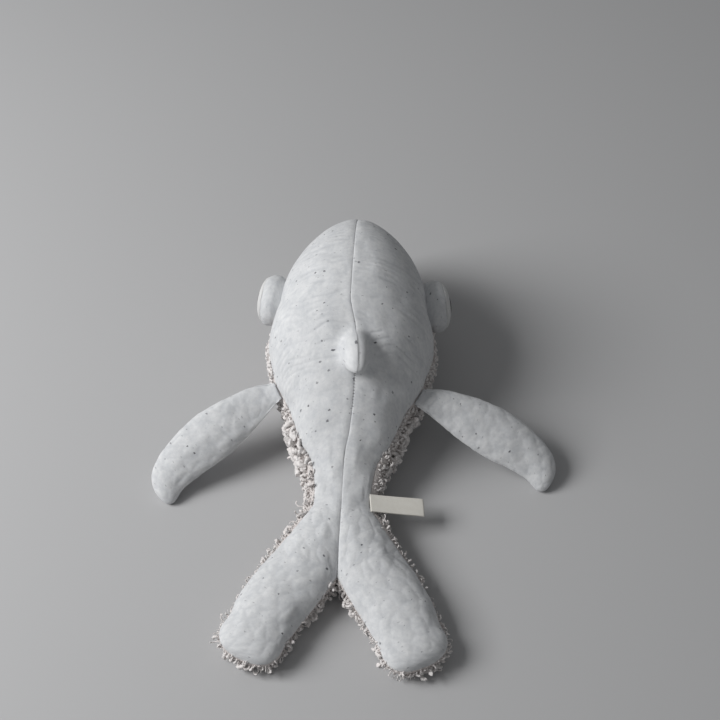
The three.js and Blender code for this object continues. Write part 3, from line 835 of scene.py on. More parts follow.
@dataclass(frozen=True)
class Curls:
    """Twisted locks of fleece that stand on a cloth. Lengths are in millimetres.

    Each shape of lock has a height, a bend of its tip and a thickness, as shares of the full height,
    hook and strand; a bend below 0 goes back. The spine gives the ends and handles of a lock's curve,
    sideways and up, as shares of its bend and its height. The swell is a part of a sine wave, in radians:
    how much of it the lock's thickness follows, and where it starts.
    """

    spacing: float = 4.3
    height: float = 5.6
    hook: float = 6.4
    strand: float = 3.4
    waist: float = 0.74
    turns: float = 0.7
    smallest: float = 0.68
    largest: float = 1.22
    clump: float = 0.4
    seed: int = 5
    clump_size: float = 9.0
    most_per_square_metre: float = 400000.0
    lean: float = 0.45
    least_room: float = 0.15
    floor_gap: float = 0.45
    swell: tuple[float, float] = (2.2, 0.75)
    tip_power: float = 9.0
    least_radius: float = 0.12
    shapes: tuple[tuple[float, float, float], ...] = (
        (1.0, 1.0, 1.0),
        (0.8, -1.25, 1.0),
        (1.1, 0.6, 0.85),
        (1.4, 0.9, 0.32),
    )
    spine: tuple[tuple[float, float], ...] = ((0.0, -0.12), (-0.35, 0.55), (0.25, 1.15), (1.0, 0.86))

    def values(self) -> dict[str, float]:
        """The tree's number inputs, with lengths in metres."""
        lengths = {"Spacing": self.spacing, "Height": self.height, "Hook": self.hook, "Strand": self.strand}
        shares = {"Turns": self.turns, "Clump": self.clump}
        sizes = {"Smallest": self.smallest, "Largest": self.largest}
        return {name: length * MM for name, length in lengths.items()} | shares | sizes

    def tree(self, finish: bpy.types.Material) -> NodeTree:
        """Builds the node tree that grows them.

        Args:
            finish: The material of the locks.

        Returns:
            The tree.
        """
        wire, given = geometry_tree("twisted_locks", self.values(), self.seed)
        scattered = wire.add(
            "GeometryNodeDistributePointsOnFaces",
            {"Mesh": given["Geometry"], "Distance Min": given["Spacing"],
             "Density Max": self.most_per_square_metre, "Seed": given["Seed"]},
            distribute_method="POISSON",
        )
        locks = wire.add("GeometryNodeJoinGeometry")
        for shape in self.shapes:
            lock = wire.add("GeometryNodeGeometryToInstance", {0: self._lock(wire, given, *shape)})
            wire.tree.links.new(lock.outputs[0], locks.inputs[0])
        lean = wire.add(
            "FunctionNodeRandomValue",
            {0: (-self.lean, -self.lean, 0.0), 1: (self.lean, self.lean, 2 * math.pi),
             "Seed": given["Seed"]},
            data_type="FLOAT_VECTOR",
        )
        size = wire.add(
            "FunctionNodeRandomValue",
            {2: given["Smallest"], 3: given["Largest"], "Seed": wire.math("ADD", given["Seed"], 1.0)},
            data_type="FLOAT",
        )
        chosen = wire.add(
            "FunctionNodeRandomValue",
            {4: 0, 5: len(self.shapes) - 1, "Seed": wire.math("ADD", given["Seed"], 2.0)},
            data_type="INT",
        )
        turned = wire.out(
            "FunctionNodeRotateRotation",
            {"Rotation": scattered.outputs["Rotation"], "Rotate By": lean.outputs[0]},
            rotation_space="LOCAL",
        )
        room = wire.out("GeometryNodeInputNamedAttribute", {"Name": "room"}, data_type="FLOAT")
        here = wire.out("GeometryNodeInputPosition")
        scale = 1.0 / (self.clump_size * MM)
        cloud = wire.out("ShaderNodeTexNoise", {"Vector": here, "Scale": scale, "Detail": 1.0})
        swing = wire.math("MULTIPLY", wire.math("SUBTRACT", cloud, 0.5), given["Clump"])
        grown = wire.math("MULTIPLY", size.outputs[1], wire.math("MULTIPLY_ADD", swing, 2.0, 1.0))
        placed = wire.out(
            "GeometryNodeInstanceOnPoints",
            {"Points": scattered.outputs["Points"], "Instance": locks.outputs[0], "Pick Instance": True,
             "Selection": wire.math("GREATER_THAN", room, self.least_room),
             "Instance Index": chosen.outputs[2], "Rotation": turned,
             "Scale": wire.math("MULTIPLY", grown, room)},
        )
        real = wire.out("GeometryNodeRealizeInstances", {"Geometry": placed})
        where = wire.add("ShaderNodeSeparateXYZ", {0: wire.out("GeometryNodeInputPosition")})
        floor = wire.math("MAXIMUM", where.outputs[2], self.floor_gap * MM)
        lifted = wire.add("ShaderNodeCombineXYZ", {0: where.outputs[0], 1: where.outputs[1], 2: floor})
        real = wire.out("GeometryNodeSetPosition", {"Geometry": real, "Position": lifted.outputs[0]})
        done = wire.out("GeometryNodeSetMaterial", {"Geometry": real, "Material": finish})
        wire.add("NodeGroupOutput", {"Geometry": done})
        return wire.tree

    def _lock(self, wire: Wiring, given: object, tall: float, hooked: float, thick: float) -> NodeSocket:
        """Makes one lock: three strands twisted together, bent over at the tip.

        Args:
            wire: The tree's wiring.
            given: The tree's inputs.
            tall: Its height as a share of the full height.
            hooked: How far its tip bends over, as a share of the full hook.
            thick: How thick it is, as a share of the full strand.

        Returns:
            The lock, standing at the origin.
        """
        height = wire.math("MULTIPLY", given["Height"], tall)
        reach = wire.math("MULTIPLY", given["Hook"], hooked)
        points = {"Resolution": 8}
        for end, (across, up) in zip(("Start", "Start Handle", "End Handle", "End"), self.spine):
            points[end] = wire.out(
                "ShaderNodeCombineXYZ",
                {0: wire.math("MULTIPLY", reach, across), 2: wire.math("MULTIPLY", height, up)},
            )
        spine = wire.out("GeometryNodeCurvePrimitiveBezierSegment", points, mode="POSITION")
        place = wire.add("GeometryNodeSplineParameter").outputs["Factor"]
        swell = wire.math("SINE", wire.math("MULTIPLY_ADD", place, *self.swell))
        full = wire.math("SUBTRACT", swell, wire.math("POWER", place, self.tip_power))
        full = wire.math("MAXIMUM", full, self.least_radius)
        shaped = wire.out("GeometryNodeSetCurveRadius", {"Curve": spine, "Radius": full})
        twist = wire.math("MULTIPLY", wire.math("MULTIPLY", place, given["Turns"]), 2 * math.pi)
        shaped = wire.out("GeometryNodeSetCurveTilt", {"Curve": shaped, "Tilt": twist})
        # The place along the lock is kept as "tip"; the fleece's painted shade darkens towards the root by
        # it.
        kept = wire.add("GeometryNodeCaptureAttribute", {"Geometry": shaped}, domain="POINT")
        kept.capture_items.new("FLOAT", "tip")
        wire.tree.links.new(place, kept.inputs[1])
        outer = wire.math("MULTIPLY", given["Strand"], thick)
        section = wire.out(
            "GeometryNodeCurveStar",
            {"Points": 3, "Inner Radius": wire.math("MULTIPLY", outer, self.waist), "Outer Radius": outer},
        )
        lock = wire.out(
            "GeometryNodeCurveToMesh",
            {"Curve": kept.outputs["Geometry"], "Profile Curve": section, "Fill Caps": True},
        )
        lock = wire.out(
            "GeometryNodeStoreNamedAttribute",
            {"Geometry": lock, "Name": "tip", "Value": kept.outputs[1]},
            data_type="FLOAT",
            domain="POINT",
        )
        return wire.out("GeometryNodeSetShadeSmooth", {"Geometry": lock})

    def grow(self, name: str, ground: Object, tree: NodeTree) -> Object:
        """Grows the locks on a cloth.

        Args:
            name: The new piece's name.
            ground: The cloth, which is used up.
            tree: The node tree that grows them.

        Returns:
            The locks, as a plain mesh.
        """
        grown = run_tree(name, ground, tree, self.values() | {"Seed": self.seed + len(name)})
        log.info("%s: %d faces", grown.name, len(grown.data.polygons))
        return grown


def run_tree(name: str, start: Object, tree: NodeTree, inputs: dict[str, float]) -> Object:
    """Runs a geometry node tree and keeps its result as a plain mesh.

    Args:
        name: The new piece's name.
        start: The object whose geometry the tree reads, which is removed afterwards.
        tree: The tree.
        inputs: Values for its inputs, by name.

    Returns:
        A new object with the result.
    """
    nodes = start.modifiers.new("nodes", "NODES")
    nodes.node_group = tree
    sockets = {item.name: item.identifier for item in tree.interface.items_tree if item.in_out == "INPUT"}
    for label, value in inputs.items():
        nodes[sockets[label]] = value
    evaluated = start.evaluated_get(bpy.context.evaluated_depsgraph_get())
    mesh = bpy.data.meshes.new_from_object(evaluated)
    mesh.name = name
    made = in_scene(name, mesh)
    old = start.data
    bpy.data.objects.remove(start)
    bpy.data.meshes.remove(old)
    return made


@dataclass(frozen=True)
class Thread:
    """A sewing thread that shows as short stitches along a seam. Lengths are in millimetres.

    A stitch is thinnest at its ends and swells by the bulge times place times the rest of the way.
    """

    pitch: float = 3.2
    length: float = 1.9
    radius: float = 0.26
    thinnest: float = 0.35
    bulge: float = 2.6
    sizes: tuple[float, float] = (0.8, 1.15)
    seed: int = 2

    def values(self) -> dict[str, float]:
        """The tree's number inputs, in metres."""
        return {"Length": self.length * MM, "Radius": self.radius * MM}

    def tree(self, finish: bpy.types.Material) -> NodeTree:
        """Builds the node tree that lays them: one stitch on each point of a mesh."""
        wire, given = geometry_tree("stitches", self.values(), self.seed)
        half = wire.math("MULTIPLY", given["Length"], 0.5)
        ends = {
            "Start": wire.out("ShaderNodeCombineXYZ", {0: wire.math("MULTIPLY", half, -1.0)}),
            "Middle": wire.out("ShaderNodeCombineXYZ", {2: given["Radius"]}),
            "End": wire.out("ShaderNodeCombineXYZ", {0: half}),
        }
        arc = wire.out("GeometryNodeCurveQuadraticBezier", {"Resolution": 4} | ends)
        place = wire.add("GeometryNodeSplineParameter").outputs["Factor"]
        swell = wire.math("MULTIPLY", place, wire.math("SUBTRACT", 1.0, place))
        full = wire.math("ADD", wire.math("MULTIPLY", swell, self.bulge), self.thinnest)
        shaped = wire.out("GeometryNodeSetCurveRadius", {"Curve": arc, "Radius": full})
        section = wire.add("GeometryNodeCurvePrimitiveCircle", {"Resolution": 6, "Radius": given["Radius"]})
        stitch = wire.out(
            "GeometryNodeCurveToMesh",
            {"Curve": shaped, "Profile Curve": section.outputs[0], "Fill Caps": True},
        )
        lie, up = (
            wire.out("GeometryNodeInputNamedAttribute", {"Name": name}, data_type="FLOAT_VECTOR")
            for name in ("lie", "up")
        )
        turned = wire.out("FunctionNodeAlignRotationToVector", {"Vector": lie}, axis="X")
        turned = wire.out(
            "FunctionNodeAlignRotationToVector", {"Rotation": turned, "Vector": up}, axis="Z", pivot_axis="X"
        )
        size = wire.add(
            "FunctionNodeRandomValue",
            {2: self.sizes[0], 3: self.sizes[1], "Seed": given["Seed"]},
            data_type="FLOAT",
        )
        places = wire.out("GeometryNodeMeshToPoints", {"Mesh": given["Geometry"]})
        placed = wire.out(
            "GeometryNodeInstanceOnPoints",
            {"Points": places, "Instance": stitch, "Rotation": turned, "Scale": size.outputs[1]},
        )
        real = wire.out("GeometryNodeRealizeInstances", {"Geometry": placed})
        real = wire.out("GeometryNodeSetShadeSmooth", {"Geometry": real})
        done = wire.out("GeometryNodeSetMaterial", {"Geometry": real, "Material": finish})
        wire.add("NodeGroupOutput", {"Geometry": done})
        return wire.tree

    def sew(self, name: str, seam: Array, up: Array, tree: NodeTree, lift: float) -> Object:
        """Lays stitches across a seam.

        Args:
            name: The piece's name.
            seam: Points along the seam.
            up: Outward directions at them.
            tree: The node tree that lays them.
            lift: How far above the seam they lie.

        Returns:
            The stitches, as a plain mesh.
        """
        way = np.concatenate([[0.0], np.cumsum(np.linalg.norm(np.diff(seam, axis=0), axis=1))])
        at = np.arange(self.pitch / 2, way[-1], self.pitch)
        points = np.stack([np.interp(at, way, seam[:, k]) for k in range(3)], axis=1)
        outward = unit(np.stack([np.interp(at, way, up[:, k]) for k in range(3)], axis=1))
        lie = unit(np.cross(outward, unit(np.gradient(points, axis=0))))
        mesh = bpy.data.meshes.new(name)
        mesh.from_pydata(((points + lift * outward) * MM).tolist(), [], [])
        for label, values in (("lie", lie), ("up", outward)):
            attribute = mesh.attributes.new(label, "FLOAT_VECTOR", "POINT")
            attribute.data.foreach_set("vector", values.astype(np.float32).ravel())
        return run_tree(name, in_scene(name + "_places", mesh), tree, self.values())


# Finishes


def shader_group(
    name: str, inputs: dict[str, float], outputs: dict[str, str]
) -> tuple[Wiring, object, object]:
    """Starts a shader node group that takes a vector and numbers.

    Args:
        name: Its name.
        inputs: Its number inputs with their values.
        outputs: Its outputs with their socket types.

    Returns:
        The wiring of its tree, its inputs and its output node.
    """
    tree = bpy.data.node_groups.new(name, "ShaderNodeTree")
    tree.interface.new_socket("Vector", in_out="INPUT", socket_type="NodeSocketVector")
    for label, value in inputs.items():
        tree.interface.new_socket(label, in_out="INPUT", socket_type="NodeSocketFloat").default_value = value
    for label, kind in outputs.items():
        tree.interface.new_socket(label, in_out="OUTPUT", socket_type=kind)
    wire = Wiring(tree)
    return wire, wire.add("NodeGroupInput").outputs, wire.add("NodeGroupOutput")


class SharedEffects:
    """Node groups that more than one cloth uses. Their vectors are in millimetres."""

    def __init__(self) -> None:
        """Builds the groups."""
        self.mottle = self._mottle()
        self.flecks = self._flecks()
        self.knit = self._knit()

    def _mottle(self) -> NodeTree:
        """Soft cloudy variation and fine grain, from 0 to 1."""
        wire, given, out = shader_group(
            "cloth_mottle", {"Patch": 11.0, "Grain": 1.1, "Grain Share": 0.4}, {"Value": "NodeSocketFloat"}
        )
        cloud = wire.noise(given["Vector"], given["Patch"], detail=3.0)
        grain = wire.noise(given["Vector"], given["Grain"], detail=2.0)
        rest = wire.math("MULTIPLY", cloud, wire.math("SUBTRACT", 1.0, given["Grain Share"]))
        both = wire.math("ADD", wire.math("MULTIPLY", grain, given["Grain Share"]), rest)
        spread = wire.out("ShaderNodeMapRange", {"Value": both, "From Min": 0.36, "From Max": 0.64})
        wire.tree.links.new(spread, out.inputs["Value"])
        return wire.tree

    def _flecks(self) -> NodeTree:
        """Scattered dark fibres of uneven size, in loose clusters: how dark each place is, from 0 to 1."""
        wire, given, out = shader_group(
            "scattered_flecks",
            {"Spacing": 12.0, "Share": 0.4, "Smallest": 0.3, "Largest": 1.2, "Length": 1.3, "Cluster": 30.0},
            {"Mask": "NodeSocketFloat"},
        )
        vector = given["Vector"]
        ragged = wire.add("ShaderNodeTexNoise", {"Vector": vector, "Scale": 0.9, "Detail": 2.0}).outputs[1]
        moved = wire.out("ShaderNodeVectorMath", {0: ragged, 1: (3.6, 2.2, 0.0)}, operation="MULTIPLY")
        placed = wire.out("ShaderNodeVectorMath", {0: vector, 1: moved}, operation="ADD")
        place = wire.add("ShaderNodeSeparateXYZ", {0: placed}).outputs
        stretched = wire.out(
            "ShaderNodeCombineXYZ", {0: wire.math("DIVIDE", place[0], given["Length"]), 1: place[1]}
        )
        cells = wire.add(
            "ShaderNodeTexVoronoi",
            {"Vector": stretched, "Scale": wire.math("DIVIDE", 1.0, given["Spacing"])},
            voronoi_dimensions="2D",
        )
        chance = wire.add("ShaderNodeSeparateColor", {0: cells.outputs["Color"]}).outputs
        crowd = wire.out(
            "ShaderNodeMapRange",
            {"Value": wire.noise(vector, given["Cluster"], detail=1.0), "From Min": 0.35, "From Max": 0.65,
             "To Min": 0.1, "To Max": 1.9},
        )
        chosen = wire.math("LESS_THAN", chance[0], wire.math("MULTIPLY", given["Share"], crowd))
        radius = wire.out(
            "ShaderNodeMapRange",
            {"Value": wire.math("POWER", chance[1], 2.0), "To Min": given["Smallest"],
             "To Max": given["Largest"]},
        )
        distance = wire.math("MULTIPLY", cells.outputs["Distance"], given["Spacing"])
        inside = wire.math("MULTIPLY", wire.math("SUBTRACT", radius, distance), 2.6)
        inside = wire.out("ShaderNodeClamp", {0: inside})
        dark = wire.math("MULTIPLY_ADD", chance[2], 0.5, 0.5)
        mask = wire.math("MULTIPLY", wire.math("MULTIPLY", chosen, inside), dark)
        wire.tree.links.new(mask, out.inputs["Mask"])
        return wire.tree

    def _knit(self) -> NodeTree:
        """Columns of small knitted loops, as a height from 0 to 1."""
        wire, given, out = shader_group("knit", {"Column": 0.9, "Row": 0.7}, {"Height": "NodeSocketFloat"})
        place = wire.add("ShaderNodeSeparateXYZ", {0: given["Vector"]}).outputs
        column = wire.math("DIVIDE", place[0], given["Column"])
        slant = wire.math("ABSOLUTE", wire.math("SUBTRACT", wire.math("FRACT", column), 0.5))
        row = wire.math("DIVIDE", place[1], given["Row"])
        row = wire.math("ADD", row, wire.math("MULTIPLY", slant, 1.2))
        ridge = wire.math("ABSOLUTE", wire.math("SINE", wire.math("MULTIPLY", row, math.pi)))
        groove = wire.math("SUBTRACT", 1.0, wire.math("POWER", wire.math("MULTIPLY", slant, 2.0), 4.0))
        wire.tree.links.new(wire.math("MULTIPLY", ridge, groove), out.inputs["Height"])
        return wire.tree


@dataclass
class Material:
    """A material with a Principled shader and a vector in millimetres."""

    name: str
    roughness: float = 0.95
    sheen: float = 0.0
    on_cloth: bool = True
    specular: float = 0.2
    sheen_roughness: float = 0.6

    def __post_init__(self) -> None:
        """Starts the material."""
        self.made = bpy.data.materials.new(self.name)
        self.made.use_nodes = True
        self.wire = Wiring(self.made.node_tree)
        self.shader = self.made.node_tree.nodes["Principled BSDF"]
        self.shader.inputs["Roughness"].default_value = self.roughness
        self.shader.inputs["Specular IOR Level"].default_value = self.specular
        self.shader.inputs["Sheen Weight"].default_value = self.sheen
        self.shader.inputs["Sheen Roughness"].default_value = self.sheen_roughness
        if self.on_cloth:
            source = self.wire.out("ShaderNodeUVMap", uv_map="cloth")
            scale = 1.0 / UV_PER_MM
        else:
            source = self.wire.add("ShaderNodeTexCoord").outputs["Object"]
            scale = 1.0 / MM
        self.vector = self.wire.out("ShaderNodeMapping", {"Vector": source, "Scale": (scale,) * 3})

    def group(self, tree: NodeTree, **values: Input) -> NodeSocket:
        """Places a shared node group on this material's vector and gives its first output."""
        named = {"Vector": self.vector} | {name.replace("_", " "): value for name, value in values.items()}
        return self.wire.out("ShaderNodeGroup", named, node_tree=tree)

    def finish(self, colour: NodeSocket, height: NodeSocket, depth: float) -> bpy.types.Material:
        """Joins the colour and the height to the shader.

        Args:
            colour: The base colour.
            height: The surface's height, from 0 to 1.
            depth: How high 1 is, in millimetres.

        Returns:
            The finished material.
        """
        bump = self.wire.add("ShaderNodeBump", {"Distance": depth * MM, "Height": height, "Strength": 1.0})
        links = self.made.node_tree.links
        links.new(colour, self.shader.inputs["Base Color"])
        links.new(bump.outputs[0], self.shader.inputs["Normal"])
        return self.made


@dataclass(frozen=True)
class Jersey:
    """Crumpled cotton jersey with a cloudy grey marl and scattered dark fibres, with painted shade in its
    creases and between its pillows.
    """

    pale: Colour = (0.8, 0.805, 0.81, 1.0)
    grey: Colour = (0.6, 0.615, 0.635, 1.0)
    line: Colour = (0.5, 0.515, 0.54, 1.0)
    fibre: Colour = (0.045, 0.045, 0.06, 1.0)
    cloud_share: float = 0.76
    grain_share: float = 0.24
    line_share: float = 0.5
    faint_flecks: float = 0.45
    strong_flecks: float = 0.95
    knit_height: float = 0.35
    marl_height: float = 0.3
    depth: float = 0.3

    def material(self, effects: SharedEffects) -> bpy.types.Material:
        """Builds the material."""
        made = Material("speckled_jersey", roughness=0.92, sheen=0.12)
        wire = made.wire
        cloud = made.group(effects.mottle, Patch=15.0, Grain=4.2, Grain_Share=0.4)
        grain = made.group(effects.mottle, Patch=2.4, Grain=0.8, Grain_Share=0.5)
        cloud, grain = (
            wire.math("MULTIPLY", part, share)
            for part, share in ((cloud, self.cloud_share), (grain, self.grain_share))
        )
        marl = wire.math("ADD", cloud, grain)
        valley = wire.add("ShaderNodeAttribute", attribute_name="valley").outputs["Fac"]
        colour = wire.blend(marl, self.grey, self.pale)
        # Painted shade: the cloth darkens where the valley mark says it lies in a crease or between pillows.
        colour = wire.blend(wire.math("MULTIPLY", valley, self.line_share), colour, self.line)
        faint = made.group(
            effects.flecks, Spacing=4.6, Share=0.2, Smallest=0.3, Largest=0.8, Length=2.3, Cluster=15.0
        )
        strong = made.group(
            effects.flecks, Spacing=9.5, Share=0.36, Smallest=0.35, Largest=1.3, Length=1.3, Cluster=33.0
        )
        faint = wire.math("MULTIPLY", faint, self.faint_flecks)
        flecks = wire.math("MAXIMUM", faint, wire.math("MULTIPLY", strong, self.strong_flecks))
        colour = wire.blend(flecks, colour, self.fibre)
        knit = wire.math("MULTIPLY", made.group(effects.knit, Column=0.95, Row=0.75), self.knit_height)
        height = wire.math("ADD", knit, wire.math("MULTIPLY", marl, self.marl_height))
        return made.finish(colour, height, self.depth)


@dataclass(frozen=True)
class EyeJersey:
    """Plain pale jersey."""

    pale: Colour = (0.8, 0.8, 0.79, 1.0)
    grey: Colour = (0.71, 0.71, 0.71, 1.0)
    depth: float = 0.14

    def material(self, effects: SharedEffects) -> bpy.types.Material:
        """Builds the material."""
        made = Material("eye_jersey", roughness=0.92, sheen=0.12)
        cloud = made.group(effects.mottle, Patch=9.0, Grain=1.0, Grain_Share=0.5)
        knit = made.group(effects.knit, Column=0.9, Row=0.7)
        return made.finish(made.wire.blend(cloud, self.grey, self.pale), knit, self.depth)


@dataclass(frozen=True)
class CurlyFleece:
    """Curls in a warm pinkish cream, with painted shade that darkens them towards their roots."""

    tip: Colour = (0.93, 0.9, 0.885, 1.0)
    rose: Colour = (0.89, 0.84, 0.82, 1.0)
    root: Colour = (0.86, 0.81, 0.79, 1.0)
    root_share: float = 0.6
    depth: float = 0.22

    def material(self, effects: SharedEffects) -> bpy.types.Material:
        """Builds the material."""
        made = Material("curly_fleece", roughness=0.95, sheen=0.45, on_cloth=False)
        wire = made.wire
        place = wire.add("ShaderNodeAttribute", attribute_name="tip").outputs["Fac"]
        patches = made.group(effects.mottle, Patch=24.0, Grain=2.0, Grain_Share=0.45)
        upper = wire.blend(patches, self.rose, self.tip)
        # Painted shade: each curl darkens from its tip down towards its root.
        rise = wire.out("ShaderNodeMapRange", {"Value": place, "From Max": self.root_share})
        fibres = made.group(effects.mottle, Patch=0.9, Grain=0.35, Grain_Share=0.5)
        return made.finish(wire.blend(rise, self.root, upper), fibres, self.depth)


@dataclass(frozen=True)
class Fibres:
    """Matted fibres in two colours. Patch, grain and depth are in millimetres."""

    name: str
    light: Colour
    dark: Colour
    patch: float
    grain: float
    depth: float
    grain_share: float = 0.5
    roughness: float = 1.0
    sheen: float = 0.0
    on_cloth: bool = False

    def material(self, effects: SharedEffects) -> bpy.types.Material:
        """Builds the material."""
        made = Material(self.name, self.roughness, self.sheen, self.on_cloth)
        cloud = made.group(effects.mottle, Patch=self.patch, Grain=self.grain, Grain_Share=self.grain_share)
        return made.finish(made.wire.blend(cloud, self.dark, self.light), cloud, self.depth)


@dataclass(frozen=True)
class FleeceBacking(Fibres):
    """The knitted ground between the curls."""

    name: str = "fleece_backing"
    light: Colour = (0.86, 0.82, 0.8, 1.0)
    dark: Colour = (0.76, 0.7, 0.68, 1.0)
    patch: float = 3.0
    grain: float = 0.8
    depth: float = 0.8
    on_cloth: bool = True


@dataclass(frozen=True)
class Stuffing(Fibres):
    """Matted white fibre filling."""

    name: str = "fibre_filling"
    light: Colour = (0.9, 0.88, 0.84, 1.0)
    dark: Colour = (0.74, 0.72, 0.68, 1.0)
    patch: float = 6.0
    grain: float = 0.7
    depth: float = 1.2


@dataclass(frozen=True)
class Felt(Fibres):
    """Dark felt with pressed, slightly lighter fibres."""

    name: str = "dark_felt"
    light: Colour = (0.055, 0.052, 0.058, 1.0)
    dark: Colour = (0.018, 0.017, 0.02, 1.0)
    patch: float = 1.6
    grain: float = 0.3
    depth: float = 0.3
    grain_share: float = 0.6
    roughness: float = 0.95
    sheen: float = 0.3


@dataclass(frozen=True)
class SewingThread(Fibres):
    """Twisted grey sewing thread."""

    name: str = "sewing_thread"
    light: Colour = (0.3, 0.3, 0.31, 1.0)
    dark: Colour = (0.13, 0.13, 0.14, 1.0)
    patch: float = 0.5
    grain: float = 0.2
    depth: float = 0.1
    roughness: float = 0.7


@dataclass(frozen=True)
class CottonTape:
    """Plain woven cream tape. The thread's width and the depth are in millimetres."""

    light: Colour = (0.88, 0.86, 0.8, 1.0)
    dark: Colour = (0.76, 0.73, 0.66, 1.0)
    thread: float = 0.55
    depth: float = 0.12

    def material(self, effects: SharedEffects) -> bpy.types.Material:
        """Builds the material."""
        made = Material("cotton_tape", roughness=0.85, sheen=0.1)
        wire = made.wire
        place = wire.add("ShaderNodeSeparateXYZ", {0: made.vector}).outputs
        phases = [wire.math("MULTIPLY", place[axis], math.pi / self.thread) for axis in (0, 1)]
        waves = [wire.math("SINE", phase) for phase in phases]
        weave = wire.math("MULTIPLY_ADD", wire.math("MULTIPLY", *waves), 0.5, 0.5)
        cloud = made.group(effects.mottle, Patch=5.0, Grain=0.6, Grain_Share=0.5)
        shade = wire.math("MULTIPLY", wire.math("ADD", weave, cloud), 0.5)
        return made.finish(wire.blend(shade, self.dark, self.light), weave, self.depth)


class Finishes:
    """Every material of the whale, built once."""

    def __init__(self) -> None:
        """Builds them."""
        effects = SharedEffects()
        self.jersey = Jersey().material(effects)
        self.eye_jersey = EyeJersey().material(effects)
        self.fleece = FleeceBacking().material(effects)
        self.curls = CurlyFleece().material(effects)
        self.stuffing = Stuffing().material(effects)
        self.felt = Felt().material(effects)
        self.tape = CottonTape().material(effects)
        self.thread = SewingThread().material(effects)


# Trunk, tail and flippers


@dataclass(frozen=True)
class Sewing:
    """How a seam draws the cloth in beside it. Lengths are in millimetres."""

    depth: float = 1.3
    width: float = 0.75
    dip: float = 0.55
    dip_width: float = 3.2
    pitch: float = 5.5
    pucker: float = 0.5
    reach: float = 7.5
    seed: int = 3

    def draw(self, away: Array, along: Array) -> Array:
        """How far the cloth moves outwards.

        Args:
            away: Distances from the seam.
            along: Distances along it.

        Returns:
            Amounts that are the same on both sides of the seam at the seam itself.
        """
        cleft = np.exp(-away / self.width)
        dip = np.exp(-((away / self.dip_width) ** 2))
        waves = Unevenness(self.seed)(np.stack([away, along], axis=-1), 4 * self.reach, self.pitch / 2)
        gathers = self.pucker * waves * np.exp(-away / self.reach) * (1 - cleft)
        return gathers - self.depth * cleft - self.dip * dip


@dataclass(frozen=True)
class Creases:
    """Lumps of filling, uneven pillows and fine creases in a cloth, and a mark for the painted shade in
    their valleys. Lengths are in millimetres.
    """

    lump: float = 0.24
    lump_size: float = 15.0
    dent: float = 0.55
    dent_size: float = 52.0
    pillow: float = 0.62
    pillow_size: tuple[float, float] = (18.0, 22.0)
    pillow_edge: float = 2.7
    pillow_jitter: float = 0.7
    pillow_level: float = 0.6
    crease: float = 0.72
    crease_pitch: float = 7.5
    crease_width: float = 1.25
    crease_sway: float = 0.8
    sway_size: float = 26.0
    patch_size: tuple[float, float] = (17.0, 8.0)
    patch_level: float = 0.1
    patch_contrast: float = 2.2
    wander: float = 3.0
    wander_size: float = 22.0
    crease_mark: float = 0.8
    pillow_mark: float = 0.6
    seed: int = 11

    def _pillow_edges(self, cloth: Array) -> Array:
        """Where pillows of uneven size meet: 1 on their borders and next to nothing on top of them."""
        cells = 64
        shift = [Unevenness(self.seed + extra)(cloth, self.wander_size) for extra in (4, 5)]
        wandered = cloth + self.wander * np.stack(shift, axis=-1)
        across, along = np.moveaxis(wandered / self.pillow_size, -1, 0)
        places = np.stack([across + along, across - along], axis=-1)
        random = np.random.default_rng(self.seed).random((cells, cells, 2))
        table = 0.5 + self.pillow_jitter * (random - 0.5)
        corner = np.floor(places).astype(int)
        gaps = []
        for step in np.ndindex(3, 3):
            cell = corner + np.array(step) - 1
            middle = cell + table[cell[..., 0] % cells, cell[..., 1] % cells]
            gaps.append(np.linalg.norm(middle - places, axis=-1))
        nearest = np.sort(np.stack(gaps), axis=0)
        return np.exp(-self.pillow_edge * (nearest[1] - nearest[0]))

    def draw(self, panel: Panel, creased: Array, puffed: Array) -> Array:
        """Works out the unevenness of a cloth and marks its valleys for painted shade.

        Args:
            panel: The cloth, which gets a mark of painted shade: how deep in a valley each point lies.
            creased: How strongly each point is creased, from 0 to 1.
            puffed: How strongly each point belongs to a pillow, from 0 to 1.

        Returns:
            How far each point moves outwards.
        """
        cloth = panel.cloth
        lumps = Unevenness(self.seed)(panel.points, self.lump_size)
        dents = Unevenness(self.seed + 1)(panel.points, self.dent_size)
        edges = self._pillow_edges(cloth)
        sway = self.crease_sway * Unevenness(self.seed + 2)(cloth, self.sway_size)
        phase = cloth[..., 1] / self.crease_pitch + sway
        away = (phase - np.round(phase)) * self.crease_pitch / self.crease_width
        patches = self.patch_contrast * Unevenness(self.seed + 3)(cloth, *self.patch_size)
        valleys = np.exp(-(away**2)) * smooth(self.patch_level + patches) * creased
        # Painted shade in the creases and where the pillows meet, which the jersey shows as a darker colour.
        marks = self.crease_mark * valleys + self.pillow_mark * puffed * edges**4
        panel.marks["valley"] = np.clip(marks, 0.0, 1.0)
        pillows = self.pillow * puffed * (self.pillow_level - edges)
        return self.lump * lumps + self.dent * dents + pillows - self.crease * valleys


